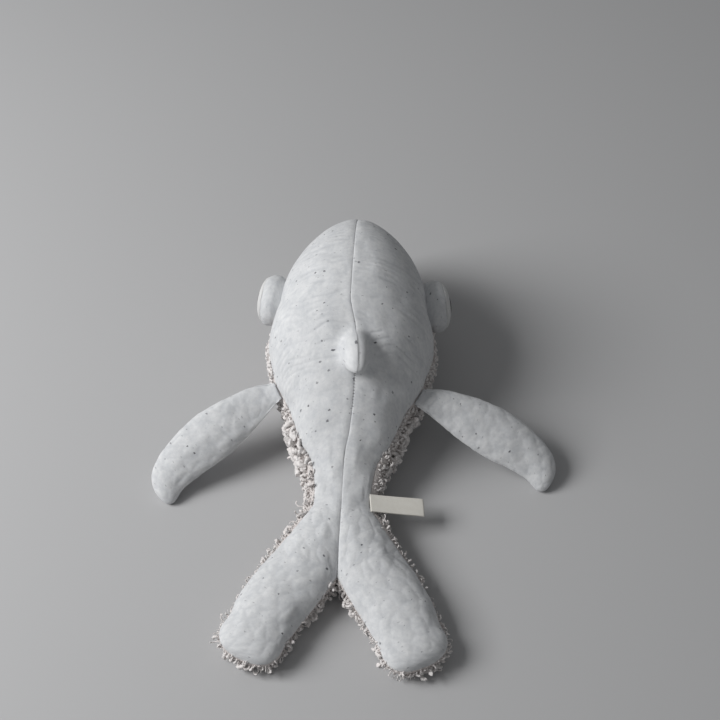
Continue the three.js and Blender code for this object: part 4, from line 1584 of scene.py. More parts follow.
@dataclass(frozen=True)
class DorsalFin:
    """The small hooked fin that both back panels form round the centre seam.

    Lengths are in millimetres. The outline's radii and heights are shares of the fin's half length or
    half width, and of its height.
    """

    length: float = 40.0
    width: float = 32.0
    height: float = 30.0
    middle: float = 31.0
    sweep: float = 0.36
    skew: float = 0.2
    lean: float = 2.2
    foot: float = 1.5
    radii: tuple[float, ...] = (1.5, 1.2, 1.06, 0.98, 0.9, 0.81, 0.68, 0.545, 0.33, 0.0)
    heights: tuple[float, ...] = (0.0, 0.04, 0.15, 0.35, 0.52, 0.65, 0.78, 0.87, 0.96, 1.0)

    def form(self, whale: WhaleForm, cut: Panel) -> Array:
        """Draws the cloth out into the fin.

        Args:
            whale: The form whose back carries the fin.
            cut: A back panel, whose points are moved.

        Returns:
            How much each point belongs to the fin, from 0 to 1.
        """
        station = np.array([self.middle])
        crown = whale.inner_degrees(Side.RIGHT, station, under=False)[:, None]
        at, ahead, outward = whale.seat(Side.RIGHT, station, crown)
        across = np.cross(ahead, outward)
        away = cut.points - at
        a, c, n = away @ ahead, away @ across, away @ outward
        half_length, half_width = self.length / 2, self.width / 2
        rho = np.hypot(a / half_length, c / half_width)
        near = (rho < self.foot) & (np.linalg.norm(away, axis=-1) < self.foot * self.length)
        radii, heights = np.array(self.radii), np.array(self.heights)
        steps = np.hypot(np.diff(radii) * (half_length + half_width) / 2, np.diff(heights) * self.height)
        travelled = np.concatenate([[0.0], np.cumsum(steps)]) / steps.sum()
        way = 1.0 - np.clip(rho / self.foot, 0.0, 1.0)
        radius = Curve(tuple(travelled), tuple(radii))(way)
        risen = Curve(tuple(travelled), tuple(heights))(way)
        share = radius / np.maximum(rho, 1e-6)
        a_new = a * share - self.length * self.sweep * risen**2
        steeper = 1.0 - self.skew * smooth(1.5 * risen) * smooth(c / half_width)
        c_new = c * share * steeper + self.lean * risen**2
        n_new = n * share**2 + self.height * risen
        drawn = at + a_new[..., None] * ahead + c_new[..., None] * across + n_new[..., None] * outward
        cut.points = np.where(near[..., None], drawn, cut.points)
        return np.where(near, smooth(way * 3.0), 0.0)


@dataclass
class TrunkAndTail:
    """The whale's stuffed trunk with its tail: two back cloths, the fleece under them and the filling.

    Lengths are in millimetres, and places along the whale are stations of its form, or Y where the waist
    bends. Seam rooms say how tall curls stand at the side seam, and seam reaches how far that goes.
    """

    form: WhaleForm = WhaleForm()
    fin: DorsalFin = DorsalFin()
    row_spacing: float = 1.5
    coarse_spacing: float = 6.0
    filling_spacing: float = 4.0
    columns: int = 97
    fleece_columns: int = 65
    coarse_columns: int = 15
    filling_columns: int = 25
    cuts_apart: float = 400.0
    jersey: float = 1.4
    fleece_backing: float = 1.2
    filling_inset: float = 4.5
    fine_rows: tuple[float, float] = (2.0, 62.0)
    bend_start: float = -132.0
    bend_end: float = -178.0
    seam_rise: float = 15.0
    seam_level: float = 0.93
    level_fade: float = 30.0
    end_fade: float = 5.0
    sewing: Sewing = Sewing()
    creases: Creases = Creases()
    creased: tuple[float, float] = (-165.0, 90.0)
    creased_fades: tuple[float, float] = (80.0, 110.0)
    puffed_from: float = 95.0
    puffed_fade: float = 110.0
    least_puffed: float = 0.2
    fin_seam: float = 0.8
    fin_creases: float = 0.75
    smooth_margin: float = 9.0
    fleece_lump: float = 0.6
    fleece_lumps: tuple[tuple[int, float], ...] = ((29, 6.5), (31, 15.0))
    coarse_lump_share: float = 0.8
    fleece_margin: float = 7.0
    floor_dip: float = 0.7
    parting_fade: float = 8.0
    cloth_filling: ClothFilling = ClothFilling()
    curls: Curls = Curls()
    tail_curls: Curls = Curls(
        spacing=3.3, height=5.4, hook=4.6, strand=1.75, turns=1.0, smallest=0.4, largest=1.3, clump=0.95
    )
    edge_curls: Curls = Curls(spacing=2.5, height=2.3, hook=2.4, strand=1.7, turns=0.8)
    chest_until: float = -25.0
    belly_until: float = 112.0
    seam_depth: Curve = Curve((-186.0, -60.0, 20.0, 60.0, 160.0, 320.0), (0.42, 0.42, 0.44, 0.5, 0.5, 0.55))
    head_places: tuple[float, ...] = (-186.0, -130.0, -95.0)
    flipper_fade: float = 26.0
    tail_places: tuple[float, ...] = (110.0, 160.0, 320.0)
    chest_end: dict[Side, float] = field(default_factory=lambda: {Side.LEFT: 44.0, Side.RIGHT: 15.0})
    seam_rooms: dict[Side, tuple[float, ...]] = field(
        default_factory=lambda: {
            Side.LEFT: (0.5, 0.4, 0.1, 0.1, 0.6, 0.62, 0.5, 0.5),
            Side.RIGHT: (0.5, 0.4, 0.16, 0.16, 0.36, 0.36, 0.45, 0.5),
        }
    )
    seam_reaches: dict[Side, tuple[float, ...]] = field(
        default_factory=lambda: {
            Side.LEFT: (6.0, 14.0, 60.0, 60.0, 8.0, 6.0, 8.0, 9.0),
            Side.RIGHT: (6.0, 10.0, 34.0, 34.0, 20.0, 20.0, 9.0, 9.0),
        }
    )
    lobe_room: float = 0.5
    lobe_reach: float = 8.0
    edge_room: float = 0.55
    edge_fade: float = 0.25
    bare_fade: float = 5.0
    bare_places: dict[Side, list[tuple[Array, float]]] = field(
        default_factory=lambda: {side: [] for side in Side}
    )
    ladder: Thread = Thread()
    ladder_ends: tuple[float, float] = (47.0, 74.0)
    ladder_lift: float = 0.75

    def __post_init__(self) -> None:
        """Cuts the cloths that show, with closer rows where the fin is drawn out."""
        stations = self.form.stations(self.row_spacing)
        finned = (stations > self.fine_rows[0]) & (stations < self.fine_rows[1])
        between = (stations[:-1] + stations[1:])[finned[:-1] & finned[1:]] / 2
        self.stations = np.sort(np.concatenate([stations, between]))
        self.cuts = self._cut(self.stations, self.columns, self.fleece_columns)
        self.crotch = self.form.crotch()

    def _cut(self, stations: Array, columns: int, fleece_columns: int) -> dict[tuple[Side, bool], Panel]:
        """Cuts the four cloths on the whale's form; the key is the side and whether it lies under it."""
        cuts = {}
        for side in Side:
            for under in (False, True):
                shares = crowded(fleece_columns if under else columns)
                degrees = self.form.degrees(side, stations, shares, under)
                points = self.form.rings(side, stations).points(degrees)
                normals = self.form.normals(side, stations, degrees)
                turned, origin = (side is Side.RIGHT) != under, side.place_on_roll(self.cuts_apart)
                cuts[side, under] = Panel(points, normals, turned, origin=origin)
                self._close_middle(side, stations, cuts[side, under])
        return cuts

    def _close_middle(self, side: Side, stations: Array, cut: Panel) -> None:
        """Keeps a tail cloth on its own side, and its inner edge in the middle as far as the lobes part."""
        shared = (stations > self.form.waist_reach) & self._before_crotch(stations)
        x = cut.points[..., 0]
        x[shared] = side.value * np.maximum(side.value * x[shared], 0.0)
        x[shared, 0] = 0.0

    def _before_crotch(self, stations: Array) -> Array:
        """Whether the two sides still meet in the middle, up to and with the row where the lobes part."""
        rounding_error = 0.001
        return stations <= self.form.crotch() + rounding_error

    def _parted(self) -> Array:
        """How far the lobes have parted at each row: 0 before it and 1 from the crotch on."""
        return smooth((self.stations - self.crotch + self.parting_fade) / self.parting_fade)[:, None]

    def _fill(self) -> None:
        """Fills coarse copies of the cloths and carries their swelling over to the fine ones."""
        stations = self.form.stations(self.coarse_spacing)
        coarse = self._cut(stations, self.coarse_columns, self.coarse_columns)
        before = {key: cut.points.copy() for key, cut in coarse.items()}
        held = []
        for _, under in coarse:
            weights = np.zeros((len(stations), self.coarse_columns))
            weights[:, -1] = 1.0
            weights[[0, 1, -2, -1]] = 1.0
            weights[stations > self.crotch - self.coarse_spacing, 0] = 1.0
            if not under:
                weights[:, 0] = 1.0
            held.append(weights)
        self.cloth_filling.fill(list(coarse.values()), held)
        for key, cut in self.cuts.items():
            shift = softened(coarse[key].points - before[key], passes=2)
            shift = carried(shift, stations, self.stations, cut.points.shape[1])
            cut.points = cut.points + (shift if key[1] else self._levelled(cut, shift))

    def _levelled(self, cut: Panel, shift: Array) -> Array:
        """Lets a back cloth rise at the centre seam too, so that the seam lies in no broad groove.

        Args:
            cut: The back cloth.
            shift: How far the filling moves each of its points.

        Returns:
            The shift with the seam raised nearly as far as the cloth beside it.
        """
        outward = np.einsum("ijk,ijk->ij", shift, cut.normals)
        beside = np.abs(cut.first - self.seam_rise).argmin(axis=1)[:, None]
        raised = np.take_along_axis(outward, beside, axis=1)[..., None] * cut.normals
        apart = smooth((self.stations - self.crotch + self.level_fade) / self.level_fade)[:, None]
        share = self.seam_level * smooth(1.0 - cut.first / self.seam_rise) * (1.0 - apart)
        return lerp(shift, raised, share[..., None])

    def _ends(self) -> Array:
        """Fades to nothing at the nose and the flukes' tips, where the cloths meet in a point."""
        near = np.minimum(self.stations + self.form.nose_reach, self.form.tip - self.stations)
        return smooth(near / self.end_fade)[:, None]

    def _dress_back(self, side: Side) -> None:
        """Forms the fin, draws in the seams and creases one back cloth."""
        cut = self.cuts[side, False]
        first, last, along = cut.first, cut.last, cut.along
        finned = self.fin.form(self.form, cut)
        if finned.any():
            cut.normals = unit(lerp(cut.normals, cut.formed_normals(), finned[..., None]))
        begun = smooth((self.stations - self.creased[0]) / self.creased_fades[0])
        creased = smooth((self.creased[1] - self.stations) / self.creased_fades[1]) * begun
        puffed = smooth((self.stations - self.puffed_from) / self.puffed_fade)
        puffed = lerp(self.least_puffed, 1.0, puffed)
        every = np.ones_like(first)
        firm = self.seam_depth(self.stations)[:, None] * (1.0 - self.fin_seam * finned)
        amount = firm * self.sewing.draw(first, along) + self.sewing.draw(last, along)
        away = smooth(np.minimum(first, last) / self.smooth_margin)
        uneven = self.creases.draw(cut, creased[:, None] * every, puffed[:, None] * every)
        amount += away * uneven * (1.0 - self.fin_creases * finned)
        # The painted shade in the valleys fades out near the seams and on the fin.
        cut.marks["valley"] *= away * (1.0 - finned)
        cut.push(amount * self._ends())

    def _dress_fleece(self, side: Side) -> None:
        """Draws in the seams of one fleece cloth and makes it lumpy, flat where it rests."""
        cut = self.cuts[side, True]
        parted = self._parted()
        amount = self.sewing.draw(cut.last, cut.along)
        amount += self.sewing.draw(cut.first, cut.along) * parted
        fine, coarse = (Unevenness(seed)(cut.points, size) for seed, size in self.fleece_lumps)
        middle = np.where(parted > 0, np.minimum(cut.first, cut.last), cut.last)
        lumps = self.fleece_lump * (fine + self.coarse_lump_share * coarse)
        amount += lumps * smooth(middle / self.fleece_margin)
        cut.push(amount * self._ends())
        cut.points[..., 2] = np.maximum(cut.points[..., 2], self.form.belly_gap - self.floor_dip)

    def _close_backs(self) -> None:
        """Brings the inner edges of the two back cloths together as far as the lobes part."""
        left, right = self.cuts[Side.LEFT, False], self.cuts[Side.RIGHT, False]
        seam = (left.points[:, 0] + right.points[:, 0]) / 2
        joint = self._before_crotch(self.stations)
        left.points[joint, 0] = right.points[joint, 0] = seam[joint]
        for (side, _), cut in self.cuts.items():
            self._close_middle(side, self.stations, cut)

    def _bend(self, piece: Object) -> None:
        """Bakes a piece's place into its mesh."""
        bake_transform(piece)

    def build(self, finishes: Finishes) -> None:
        """Makes the pieces and dresses them, and joins the curls on the trunk and the ladder stitches to the
        body.
        """
        self._fill()
        for side in Side:
            self._dress_back(side)
            self._dress_fleece(side)
        self._close_backs()
        for side in Side:
            self._make_back(side, finishes)
        self._make_fleece(finishes)
        self._grow_curls(finishes)
        self._sew_back(finishes)
        self._make_filling(finishes)

    def _make_back(self, side: Side, finishes: Finishes) -> None:
        """Makes the cloth of one side of the back."""
        word = side.word
        back = self.cuts[side, False].piece(f"back_cloth_{word}")
        thicken(back, self.jersey)
        dress(back, finishes.jersey)
        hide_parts(f"back_panel_{word}", f"tail_panel_{word}", f"dorsal_fin_{word}")
        self._bend(back)

    def _make_fleece(self, finishes: Finishes) -> None:
        """Makes the fleece under the trunk and the tail."""
        fleece = joined("fleece_cloth", [self.cuts[side, True] for side in Side])
        thicken(fleece, self.fleece_backing)
        dress(fleece, finishes.fleece)
        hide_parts("belly_panel", "tail_underside_left", "tail_underside_right")
        self._bend(fleece)

    def _make_filling(self, finishes: Finishes) -> None:
        """Makes the surface of the filling, inside the cloths."""
        stations = self.form.stations(self.filling_spacing)
        cuts = list(self._cut(stations, self.filling_columns, self.filling_columns).values())
        before = [cut.points.copy() for cut in cuts]
        for cut in cuts:
            cut.push(np.full(cut.points.shape[:2], -self.filling_inset))
        brought_together(cuts, before)
        filling = joined("whale_filling", cuts)
        dress(filling, finishes.stuffing)
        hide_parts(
            "body_filling", "fluke_filling_left", "fluke_filling_right", "dorsal_fin_filling"
        )
        self._bend(filling)

    def _room(self, side: Side) -> Array:
        """How tall curls may stand on a fleece cloth, from 0 to 1: short beside what is sewn into it."""
        cut, chest_end = self.cuts[side, True], self.chest_end[side]
        places = (*self.head_places, chest_end, chest_end + self.flipper_fade, *self.tail_places)
        beside = smooth(cut.last / Curve(places, self.seam_reaches[side])(self.stations)[:, None])
        room = lerp(Curve(places, self.seam_rooms[side])(self.stations)[:, None], 1.0, beside)
        lobe = lerp(self.lobe_room, 1.0, smooth(cut.first / self.lobe_reach))
        return room * lerp(1.0, lobe, self._parted())

    def _uncovered(self, side: Side) -> Array:
        """Where curls may grow on a fleece cloth: 0 under what is sewn onto it and 1 elsewhere."""
        cut = self.cuts[side, True]
        open_share = np.ones(cut.points.shape[:2])
        for place, reach in self.bare_places[side]:
            away = np.linalg.norm(cut.points - place, axis=-1)
            open_share = open_share * smooth((away - reach) / self.bare_fade)
        return open_share

    def _ground(self, rows: Array, side: Side, edge: bool) -> Object:
        """The part of a fleece cloth that curls grow on.

        Args:
            rows: Which rows of the cloth are wanted.
            side: Which of the two fleece cloths.
            edge: Whether the curls are the small ones that fill in where the others are short.

        Returns:
            An object for the node tree to use up.
        """
        cut = self.cuts[side, True]
        room = self._room(side)
        if edge:
            room = smooth((self.edge_room - room) / self.edge_fade)
        marks = {"room": (room * self._uncovered(side))[rows]}
        return Panel(cut.points[rows], cut.normals[rows], cut.turned, marks).piece("curl_ground")

    def _grow_curls(self, finishes: Finishes) -> None:
        """Covers the fleece cloth with curls."""
        tree = self.curls.tree(finishes.curls)
        regions = {
            "chest": (-math.inf, self.chest_until, self.curls),
            "belly": (self.chest_until, self.belly_until, self.curls),
            "tail": (self.belly_until, math.inf, self.tail_curls),
            "edge": (-math.inf, self.belly_until, self.edge_curls),
        }
        for side in Side:
            for region, (start, end, curls) in regions.items():
                rows = (self.stations > start - self.row_spacing) & (self.stations <= end)
                name = f"curls_{region}_{side.word}"
                locks = curls.grow(name, self._ground(rows, side, region == "edge"), tree)
                if region == "tail":
                    self._bend(locks)
                else:
                    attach(locks, "body")

    def _sew_back(self, finishes: Finishes) -> None:
        """Lays the ladder stitches that close the back behind the fin."""
        cut = self.cuts[Side.RIGHT, False]
        rows = (self.stations > self.ladder_ends[0]) & (self.stations < self.ladder_ends[1])
        seam, up = cut.points[rows, 0], unit(cut.formed_normals()[rows, 2])
        tree = self.ladder.tree(finishes.thread)
        stitches = self.ladder.sew("back_ladder_stitches", seam, up, tree, self.ladder_lift)
        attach(stitches, "body")


@dataclass
class Flipper:
    """A stuffed paddle sewn into the side seam.

    Lengths are in millimetres, sweep and roll in degrees. Two values in one field are those of the root
    and of the tip, but the creases' two strengths are those farther out and at the root.
    """

    side: Side
    whale: WhaleForm
    sweep: float
    length: float = 163.0
    half_width: float = 27.5
    half_thickness: float = 12.5
    root_front: float = 24.0
    root_length: float = 21.0
    root_half_thickness: float = 1.75
    root_gap: float = 0.6
    seat_share: float = 0.64
    roll: float = 20.0
    sink: float = 0.5
    tip_share: float = 0.88
    widths: Curve = Curve(FLIPPER_STATIONS, (0.38, 0.64, 0.77, 0.94, 1.0, 0.98, 0.9, 0.82, 0.75, 0.7))
    bow: Curve = Curve(FLIPPER_STATIONS, (0.0, 0.2, 0.28, 0.36, 0.42, 0.45, 0.47, 0.44, 0.34, 0.0))
    thicknesses: Curve = Curve(FLIPPER_STATIONS, (0.0, 0.42, 0.68, 0.94, 1.0, 1.0, 0.95, 0.88, 0.82, 0.75))
    tip_powers: tuple[float, float] = (2.8, 1 / 2.6)
    row_spacing: float = 1.4
    columns: int = 61
    coarse_spacing: float = 5.0
    coarse_columns: int = 13
    filling_spacing: float = 4.0
    filling_columns: int = 17
    filling_inset: float = 3.2
    filling_fades: tuple[float, float] = (14.0, 5.0)
    cuts_apart: float = 1080.0
    jersey: float = 1.2
    sewing: Sewing = Sewing(depth=1.0, width=0.7, pitch=5.0, pucker=0.28, reach=6.0, seed=41)
    creases: Creases = Creases(
        lump=0.24, lump_size=13.0, dent=0.5, dent_size=38.0, pillow=0.6, crease=0.6, seed=43
    )
    creased: tuple[float, float] = (0.15, 0.75)
    creased_share: float = 2.6
    end_fades: tuple[float, float] = (8.0, 6.0)
    smooth_margin: float = 9.0
    floor_gap: float = 0.3
    cloth_filling: ClothFilling = ClothFilling(most=3.5, slack=0.01)

    def _root(self) -> tuple[Array, Array]:
        """The middle of the root seam and its direction towards the nose."""
        ends = np.array([self.root_front, self.root_front + self.root_length])
        front, rear = self.whale.on_side_seam(self.side, ends)
        along = unit(front - rear)
        away = unit(np.cross(along, (0.0, 0.0, 1.0)) * self.side.value)
        return (front + rear) / 2 + away * (self.root_half_thickness + self.root_gap), along

    def seat(self) -> tuple[Array, float]:
        """Where the flipper is sewn on: the middle of its root seam and its reach."""
        return self._root()[0], self.seat_share * self.root_length

    def rings(self, droop: float, share: Array) -> Rings:
        """The rings of the flipper.

        Args:
            droop: How far it hangs down, in radians.
            share: Where the rings are, from 0 at the root to 1 at the tip.

        Returns:
            One ring for each share.
        """
        middle, root_along = self._root()
        sweep, value = math.radians(self.sweep), self.side.value
        level = np.array([value * math.cos(sweep), -math.sin(sweep), 0.0])
        spine = level * math.cos(droop) - np.array([0.0, 0.0, math.sin(droop)])
        flat = np.array([value * math.sin(sweep), math.cos(sweep), 0.0])
        turn = value * math.radians(self.roll)
        square = (
            flat * math.cos(turn)
            + np.cross(spine, flat) * math.sin(turn)
            + spine * (spine @ flat) * (1 - math.cos(turn))
        )
        turned = smooth(share / FLIPPER_STATIONS[2])[:, None]
        forward = unit(lerp(root_along[None], square[None], turned))
        up = unit(np.cross(spine[None], forward) * value)
        end = np.clip((share - self.tip_share) / (1 - self.tip_share), 0.0, 1.0)
        left = rounding(end, self.tip_powers)
        along = share * self.length
        behind = np.clip(along / self.root_half_thickness, -1.0, 0.0)
        root = self.root_half_thickness * np.sqrt(1 - behind**2)
        thick = np.maximum(self.half_thickness * self.thicknesses(share), root) * left
        wide = self.half_width * self.widths(share) * left
        bow = (self.half_width * self.bow(share))[:, None]
        return Rings(middle + spine * along[:, None] + square * bow, forward, up, wide, thick, thick)

    def droop(self) -> float:
        """How far it hangs until its underside touches the floor, in radians."""
        share = np.linspace(FLIPPER_STATIONS[1], 0.9999, 60)
        degrees = np.tile(np.array([180.0, 210.0, 240.0]), (len(share), 1))
        high, low = 0.0, math.radians(60.0)
        for _ in range(30):
            middle = (high + low) / 2
            lowest = self.rings(middle, share).points(degrees)[..., 2].min()
            high, low = (middle, low) if lowest > -self.sink else (high, middle)
        return high

    def _cut(self, spacing: float, columns: int) -> list[Panel]:
        """Cuts the upper and the lower cloth."""
        start, tip = -self.root_half_thickness / self.length, 1 - self.tip_share
        count = round((self.tip_share - start) * self.length / spacing)
        quarter = np.linspace(0.0, 1.0, round(2.2 * tip * self.length / spacing) + 1)[1:]
        rounded = self.tip_share + tip * np.sin(quarter * math.pi / 2)
        share = np.concatenate([np.linspace(start, self.tip_share, count + 1), rounded])
        rings = self.rings(self.droop(), share)
        cuts = []
        for first in (-90.0, 90.0):
            degrees = np.tile(first + 180.0 * crowded(columns), (len(share), 1))
            across = np.sin(np.radians(degrees)) / rings.half_width.clip(1)[:, None]
            upward = np.cos(np.radians(degrees)) / rings.rise.clip(1)[:, None]
            outward = unit(rings.across[:, None] * across[..., None] + rings.up[:, None] * upward[..., None])
            origin = self.side.place_on_roll(self.cuts_apart)
            cuts.append(Panel(rings.points(degrees), outward, self.side is Side.RIGHT, origin=origin))
        return cuts

    def _fades(self, rows: Array, fades: tuple[float, float]) -> Array:
        """Fades to nothing at the root and at the tip, over two distances in millimetres."""
        return smooth(rows * self.length / fades[0]) * smooth((1 - rows) * self.length / fades[1])

    def _fill(self, cuts: list[Panel]) -> None:
        """Fills coarse copies of the cloths and carries their swelling over to the fine ones."""
        coarse = self._cut(self.coarse_spacing, self.coarse_columns)
        before = [cut.points.copy() for cut in coarse]
        held = []
        for cut in coarse:
            weights = np.zeros(cut.points.shape[:2])
            weights[:, [0, -1]] = 1.0
            weights[[0, 1, -2, -1]] = 1.0
            held.append(weights)
        self.cloth_filling.fill(coarse, held)
        for cut, rough, start in zip(cuts, coarse, before):
            shift = softened(rough.points - start, passes=3)
            rows, fine_rows = (np.linspace(0.0, 1.0, len(points)) for points in (start, cut.points))
            cut.points = cut.points + carried(shift, rows, fine_rows, self.columns)

    def _make_cloth(self, name: str, cut: Panel, finishes: Finishes) -> None:
        """Dresses one cloth and makes it a piece."""
        rows = np.linspace(0.0, 1.0, len(cut.points))[:, None]
        ends = self._fades(rows, self.end_fades)
        edge = np.minimum(cut.first, cut.last)
        every = np.ones_like(edge)
        away = smooth(edge / self.smooth_margin)
        creased = lerp(*self.creased, smooth(1 - rows * self.creased_share)) * every
        amount = self.sewing.draw(edge, cut.along)
        amount += away * self.creases.draw(cut, creased, every)
        # The painted shade in the valleys fades out near the seams and at the ends.
        cut.marks["valley"] *= away * ends
        cut.push(amount * ends)
        cut.points[..., 2] = np.maximum(cut.points[..., 2], self.floor_gap)
        word = self.side.word
        piece = cut.piece(f"flipper_{name}_cloth_{word}")
        thicken(piece, self.jersey)
        dress(piece, finishes.jersey)
        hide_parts(f"flipper_{name}_{word}")
        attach(piece, f"flipper_{word}")

    def _make_filling(self, finishes: Finishes) -> None:
        """Makes the surface of the filling, which ends in a point just inside the root."""
        skipped = 3
        inner = []
        for cut in self._cut(self.filling_spacing, self.filling_columns):
            rows = np.linspace(0.0, 1.0, len(cut.points))[:, None]
            room = self._fades(rows, self.filling_fades)
            cut.push(-self.filling_inset * room * np.ones(cut.points.shape[:2]))
            inner.append(Panel(cut.points[skipped:], cut.normals[skipped:], cut.turned, origin=cut.origin))
        root = np.mean([cut.points[0] for cut in inner], axis=(0, 1))
        for cut in inner:
            cut.points[0] = root
        word = self.side.word
        filling = joined(f"flipper_stuffing_{word}", inner)
        dress(filling, finishes.stuffing)
        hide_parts(f"flipper_filling_{word}")
        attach(filling, f"flipper_{word}")

    def build(self, finishes: Finishes) -> None:
        """Makes the pieces, dresses them and joins them to their body."""
        cuts = self._cut(self.row_spacing, self.columns)
        self._fill(cuts)
        for name, cut in zip(("upper", "lower"), cuts):
            self._make_cloth(name, cut, finishes)
        self._make_filling(finishes)


# Eyes and label


@dataclass
class Eye:
    """A stuffed cup of jersey on the side of the head, closed by a domed face with a felt pupil.

    Lengths are in millimetres. Outlines are distances from the middle and heights above the seat, as
    shares of the radius and the depth. The cup ends at the rim, where the face starts.
    """

    side: Side
    whale: WhaleForm
    radius: float = 28.2
    depth: float = 24.2
    forward: float = 80.0
    seat_degrees: float = 89.0
    seat_share: float = 0.8
    rim: float = 0.72
    rim_share: float = 0.89
    cup: tuple[tuple[float, float], ...] = (
        (0.62, -0.5), (0.76, -0.28), (0.92, 0.04), (1.0, 0.25), (1.005, 0.4), (0.975, 0.56)
    )
    face: tuple[tuple[float, float], ...] = (
        (0.84, 0.79), (0.7, 0.89), (0.48, 0.97), (0.25, 1.0), (0.0, 1.0)
    )
    cup_uneven: float = 0.8
    face_uneven: float = 0.25
    filling_uneven: float = 0.2
    pupil_uneven: float = 0.1
    lump_size: float = 10.0
    jersey: float = 1.1
    filling_inset: float = 3.2
    pupil_radius: float = 9.0
    pupil_thickness: float = 1.3
    pupil_drop: float = 0.55
    gather: float = 0.4
    gather_turn: float = 26.0
    gather_size: float = 2.6
    gather_reach: float = 7.0
    cleft_width: float = 0.9
    seeds: tuple[int, int] = (61, 67)
    cuts_apart: float = 1720.0
    segments: int = 128
    rows: int = 30

    def _frame(self) -> tuple[Array, Array, Array, Array]:
        """Where the eye sits, and its directions towards the nose, upwards and outwards."""
        station, degrees = np.array([-self.forward]), np.array([[self.seat_degrees]])
        at, ahead, outward = self.whale.seat(self.side, station, degrees)
        return at, ahead, np.cross(outward, ahead) * self.side.value, outward

    def seat(self) -> tuple[Array, float]:
        """Where the eye covers the head: its middle and its reach."""
        return self._frame()[0], self.seat_share * self.radius

    def _turned(self, radii: Array, heights: Array, seam: float | None, uneven: float) -> Panel:
        """Turns an outline round the eye's middle.

        Args:
            radii: The outline's distances from the middle, from the seat outwards.
            heights: Its heights above the seat.
            seam: The radius of a seam that gathers the cloth beside it, or None.
            uneven: How lumpy the surface is.

        Returns:
            The surface, with its first and last column at the same place.
        """
        at, ahead, upward, outward = self._frame()
        way = np.concatenate([[0.0], np.cumsum(np.hypot(np.diff(radii), np.diff(heights)))])
        fine = np.linspace(0.0, way[-1], self.rows)
        radius, height = (Curve(tuple(way), tuple(values))(fine) for values in (radii, heights))
        angle = np.linspace(0.0, 2 * math.pi, self.segments + 1)
        round_it = np.stack([np.cos(angle), np.sin(angle)], axis=-1)
        pull = np.zeros((self.rows, self.segments + 1))
        if seam is not None:
            away = np.abs(fine - way[np.abs(radii - seam).argmin()])
            waves = Unevenness(self.seeds[0])(round_it * self.gather_turn, self.gather_size)
            cleft = np.exp(-away / self.cleft_width)
            gathers = waves * (np.exp(-away / self.gather_reach) * (1 - cleft))[:, None]
            pull = self.gather * (gathers - cleft[:, None]) * np.minimum(radius / 8.0, 1.0)[:, None]
        radius = radius[:, None] + pull
        direction = ahead * round_it[:, :1] + upward * round_it[:, 1:]
        points = at + outward * height[:, None, None] + radius[..., None] * direction
        lumps = Unevenness(self.seeds[1])(points, self.lump_size)
        lumps = lumps * uneven * np.minimum(np.abs(radius) / 6.0, 1.0)
        points = points + lumps[..., None] * (outward * 0.5 + direction * 0.5)
        points[:, -1] = points[:, 0]
        origin = self.side.place_on_roll(self.cuts_apart)
        return Panel(points, np.zeros_like(points), self.side is Side.LEFT, origin=origin)

    def _piece(
        self, name: str, cut: Panel, finish: bpy.types.Material, node: str
    ) -> Object:
        """Makes a turned surface a piece that rides on the body and stands for a node."""
        piece = cut.piece(name)
        dress(piece, finish)
        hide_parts(f"{node}_{self.side.word}")
        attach(piece, "body")
        return piece

    def build(self, finishes: Finishes) -> None:
        """Makes the pieces, dresses them and joins them to the body."""
        word, size = self.side.word, np.array([self.radius, self.depth])
        rim = np.array([self.rim_share, self.rim])
        cup = self._turned(*(np.array([*self.cup, rim]) * size).T, rim[0] * self.radius, self.cup_uneven)
        back = self._piece(f"eye_cup_{word}", cup, finishes.jersey, "eye_back")
        thicken(back, self.jersey)
        face = self._turned(*(np.array([rim, *self.face]) * size).T, rim[0] * self.radius, self.face_uneven)
        front = self._piece(f"eye_front_{word}", face, finishes.eye_jersey, "eye_face")
        thicken(front, self.jersey)
        stuffing = self._piece(
            f"eye_stuffing_{word}", self._filling(), finishes.stuffing, "eye_filling"
        )
        self._piece(f"pupil_felt_{word}", self._pupil(), finishes.felt, "pupil")

    def _filling(self) -> Panel:
        """The surface of the filling."""
        r, d, inset = self.radius, self.depth, self.filling_inset
        rim = self.rim_share * r - inset
        radii = np.array([0.0, 0.6 * r, 0.88 * r - inset, r - inset, rim, 0.5 * r, 0.0])
        heights = np.array([0.02, 0.02, 0.08, 0.36, 0.62, 0.78, 0.84]) * d
        return self._turned(radii, heights, None, self.filling_uneven)

    def _pupil(self) -> Panel:
        """The felt disc in the middle of the face."""
        radii = np.array([0.0, 0.6, 0.97, 1.0, 0.97, 0.6, 0.0]) * self.pupil_radius
        seat, top, drop = self.depth, self.depth + self.pupil_thickness, self.pupil_drop
        under = [seat - 0.3, seat - 0.5, seat - 0.6 - drop]
        above = [top - 0.9 - drop / 2, top - 0.35 - drop / 2, top - 0.1, top]
        return self._turned(radii, np.array(under + above), None, self.pupil_uneven)


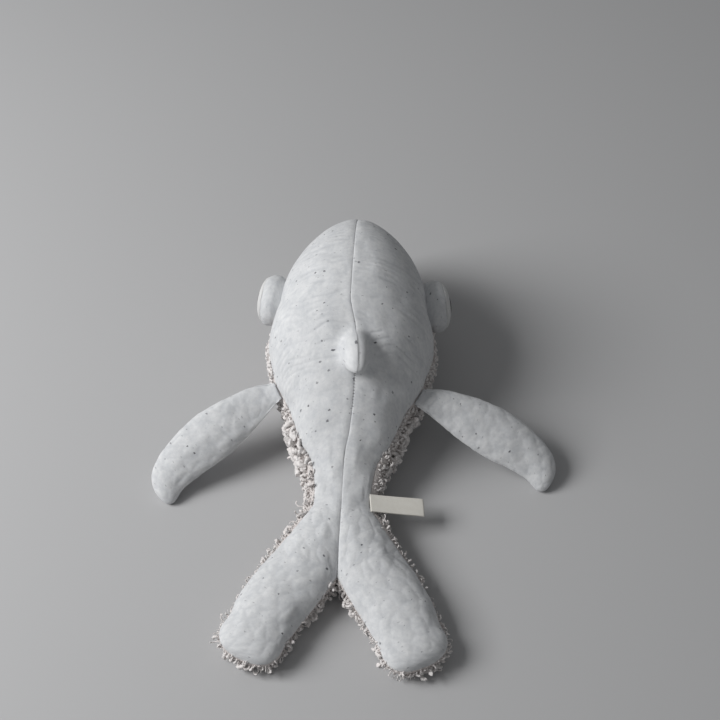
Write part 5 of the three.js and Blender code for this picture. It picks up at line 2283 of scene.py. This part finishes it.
@dataclass
class Label:
    """A bare tape, folded once, with both ends caught in the right side seam.

    Lengths are in millimetres, droop and turn in degrees.
    """

    whale: WhaleForm
    length: float = 52.0
    width: float = 20.0
    tape: float = 0.5
    gap: float = 0.3
    front: float = 142.0
    caught: float = 4.0
    seat_share: float = 0.7
    droop: float = 15.0
    turn: float = 5.5
    wave: float = 0.9
    wave_turn: float = 2.6
    wave_start: float = 0.9
    curl: float = 0.8
    rows: int = 120
    columns: int = 29

    def _root(self) -> tuple[Array, Array]:
        """The front and the rear end of the seam that holds it."""
        front, rear = self.whale.on_side_seam(Side.RIGHT, np.array([self.front, self.front + self.width]))
        return front, rear

    def seat(self) -> tuple[Array, float]:
        """Where it is caught: the middle of its seam and its reach."""
        return np.mean(self._root(), axis=0), self.seat_share * self.width

    def _folded(self) -> Array:
        """Points of the folded tape, from one end round the fold to the other."""
        front, rear = self._root()
        up = np.array([0.0, 0.0, 1.0])
        along = unit(front - rear)
        away = unit(np.cross(along, up))
        half = self.tape + self.gap / 2
        middle = (front + rear) / 2 + away * (half + self.gap) + up * half
        tilt, turn = math.radians(self.droop), math.radians(self.turn)
        level = unit(away - along * math.tan(turn))
        out = level * math.cos(tilt) - up * math.sin(tilt)
        along = unit(np.cross(up, level))
        raised = np.cross(out, along)
        raised = raised * np.sign(raised[2])
        spacing = half - self.tape / 2
        straight, bend = self.length - half + self.caught, math.pi * spacing
        way = np.linspace(0.0, 2 * straight + bend, self.rows)
        angle = np.clip((way - straight) / spacing, 0.0, math.pi) - math.pi / 2
        back = np.where(way > straight + bend, 2 * straight + bend - way, straight)
        bent = (way >= straight) & (way <= straight + bend)
        reach = np.where(way < straight, way, back) + np.cos(angle) * spacing * bent - self.caught
        side = np.linspace(-self.width / 2, self.width / 2, self.columns)
        share = smooth(reach / self.length)[:, None]
        wave = self.wave * share * np.sin(self.wave_turn * side / self.width + self.wave_start)[None]
        lift = (np.sin(angle) * spacing)[:, None] + (wave + self.curl * share**2)
        return (
            middle
            + out * reach[:, None, None]
            + raised * lift[..., None]
            + along * side[None, :, None]
        )

    def build(self, finishes: Finishes) -> None:
        """Makes the folded tape, dresses it and joins it to its body."""
        points = self._folded()
        piece = Panel(points, np.zeros_like(points), True).piece("label_tape")
        thicken(piece, self.tape, offset=0.0)
        dress(piece, finishes.tape)
        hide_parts("label")
        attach(piece, "label")


# Studio


@dataclass(frozen=True)
class Studio:
    """A pale floor, soft light from the whale's left and the camera.

    Lengths are in metres, angles in degrees, and the picture's width and the focal length in pixels.
    """

    target: tuple[float, float, float] = (0.0134, -0.060, 0.150)
    distance: float = 1.220
    elevation: float = 50.0
    yaw: float = 2.93
    picture: float = 720.0
    focal: float = 1250.0
    clip: tuple[float, float] = (0.05, 50.0)
    floor_size: float = 40.0
    floor_colour: Colour = (0.5, 0.5, 0.505, 1.0)
    floor_roughness: float = 0.9
    world_colour: Colour = (0.97, 0.985, 1.0, 1.0)
    world_strength: float = 0.18
    key_place: tuple[float, float, float] = (-1.86, -0.33, 1.56)
    key_size: float = 1.2
    key_power: float = 54.0

    def build(self) -> None:
        """Makes the camera, the floor and the lamps."""
        scene = bpy.context.scene
        scene.view_settings.view_transform = "Standard"
        yaw, rise = math.radians(self.yaw), math.radians(self.elevation)
        back = Vector((math.sin(yaw) * math.cos(rise), -math.cos(yaw) * math.cos(rise), math.sin(rise)))
        lens = bpy.data.cameras.new("camera")
        lens.lens = self.focal / self.picture * lens.sensor_width
        lens.clip_start, lens.clip_end = self.clip
        camera = in_scene("camera", lens)
        camera.location = Vector(self.target) + back * self.distance
        camera.rotation_euler = (-back).to_track_quat("-Z", "Y").to_euler()
        scene.camera = camera
        self._floor()
        self._lamp()
        world = bpy.data.worlds.new("studio")
        world.use_nodes = True
        background = world.node_tree.nodes["Background"]
        background.inputs["Color"].default_value = self.world_colour
        background.inputs["Strength"].default_value = self.world_strength
        scene.world = world

    def _floor(self) -> None:
        """Makes the floor, which isn't part of the whale."""
        half = self.floor_size / 2
        mesh = bpy.data.meshes.new("floor")
        corners = [(-half, -half, 0.0), (half, -half, 0.0), (half, half, 0.0), (-half, half, 0.0)]
        mesh.from_pydata(corners, [], [(0, 1, 2, 3)])
        floor = in_scene("floor", mesh)
        paint = bpy.data.materials.new("floor_paint")
        paint.use_nodes = True
        shader = paint.node_tree.nodes["Principled BSDF"]
        shader.inputs["Base Color"].default_value = self.floor_colour
        shader.inputs["Roughness"].default_value = self.floor_roughness
        mesh.materials.append(paint)

    def _lamp(self) -> None:
        """Makes the square lamp that shines at the whale."""
        data = bpy.data.lights.new("key", "AREA")
        data.size, data.energy = self.key_size, self.key_power
        lamp = in_scene("key", data)
        lamp.location = self.key_place
        way = Vector(self.target) - Vector(self.key_place)
        lamp.rotation_euler = way.to_track_quat("-Z", "Y").to_euler()


def main() -> None:
    """Builds the whale and its studio."""
    logging.basicConfig(level=logging.INFO, format="%(message)s")
    Studio().build()
    finishes = Finishes()
    trunk = TrunkAndTail()
    flippers = [Flipper(Side.LEFT, trunk.form, sweep=41.0), Flipper(Side.RIGHT, trunk.form, sweep=24.0)]
    eyes = [Eye(side, trunk.form) for side in Side]
    label = Label(trunk.form)
    for part in (*flippers, *eyes):
        trunk.bare_places[part.side].append(part.seat())
    trunk.bare_places[Side.RIGHT].append(label.seat())
    for part in (trunk, *flippers, *eyes, label):
        part.build(finishes)


if __name__ == "__main__":
    main()
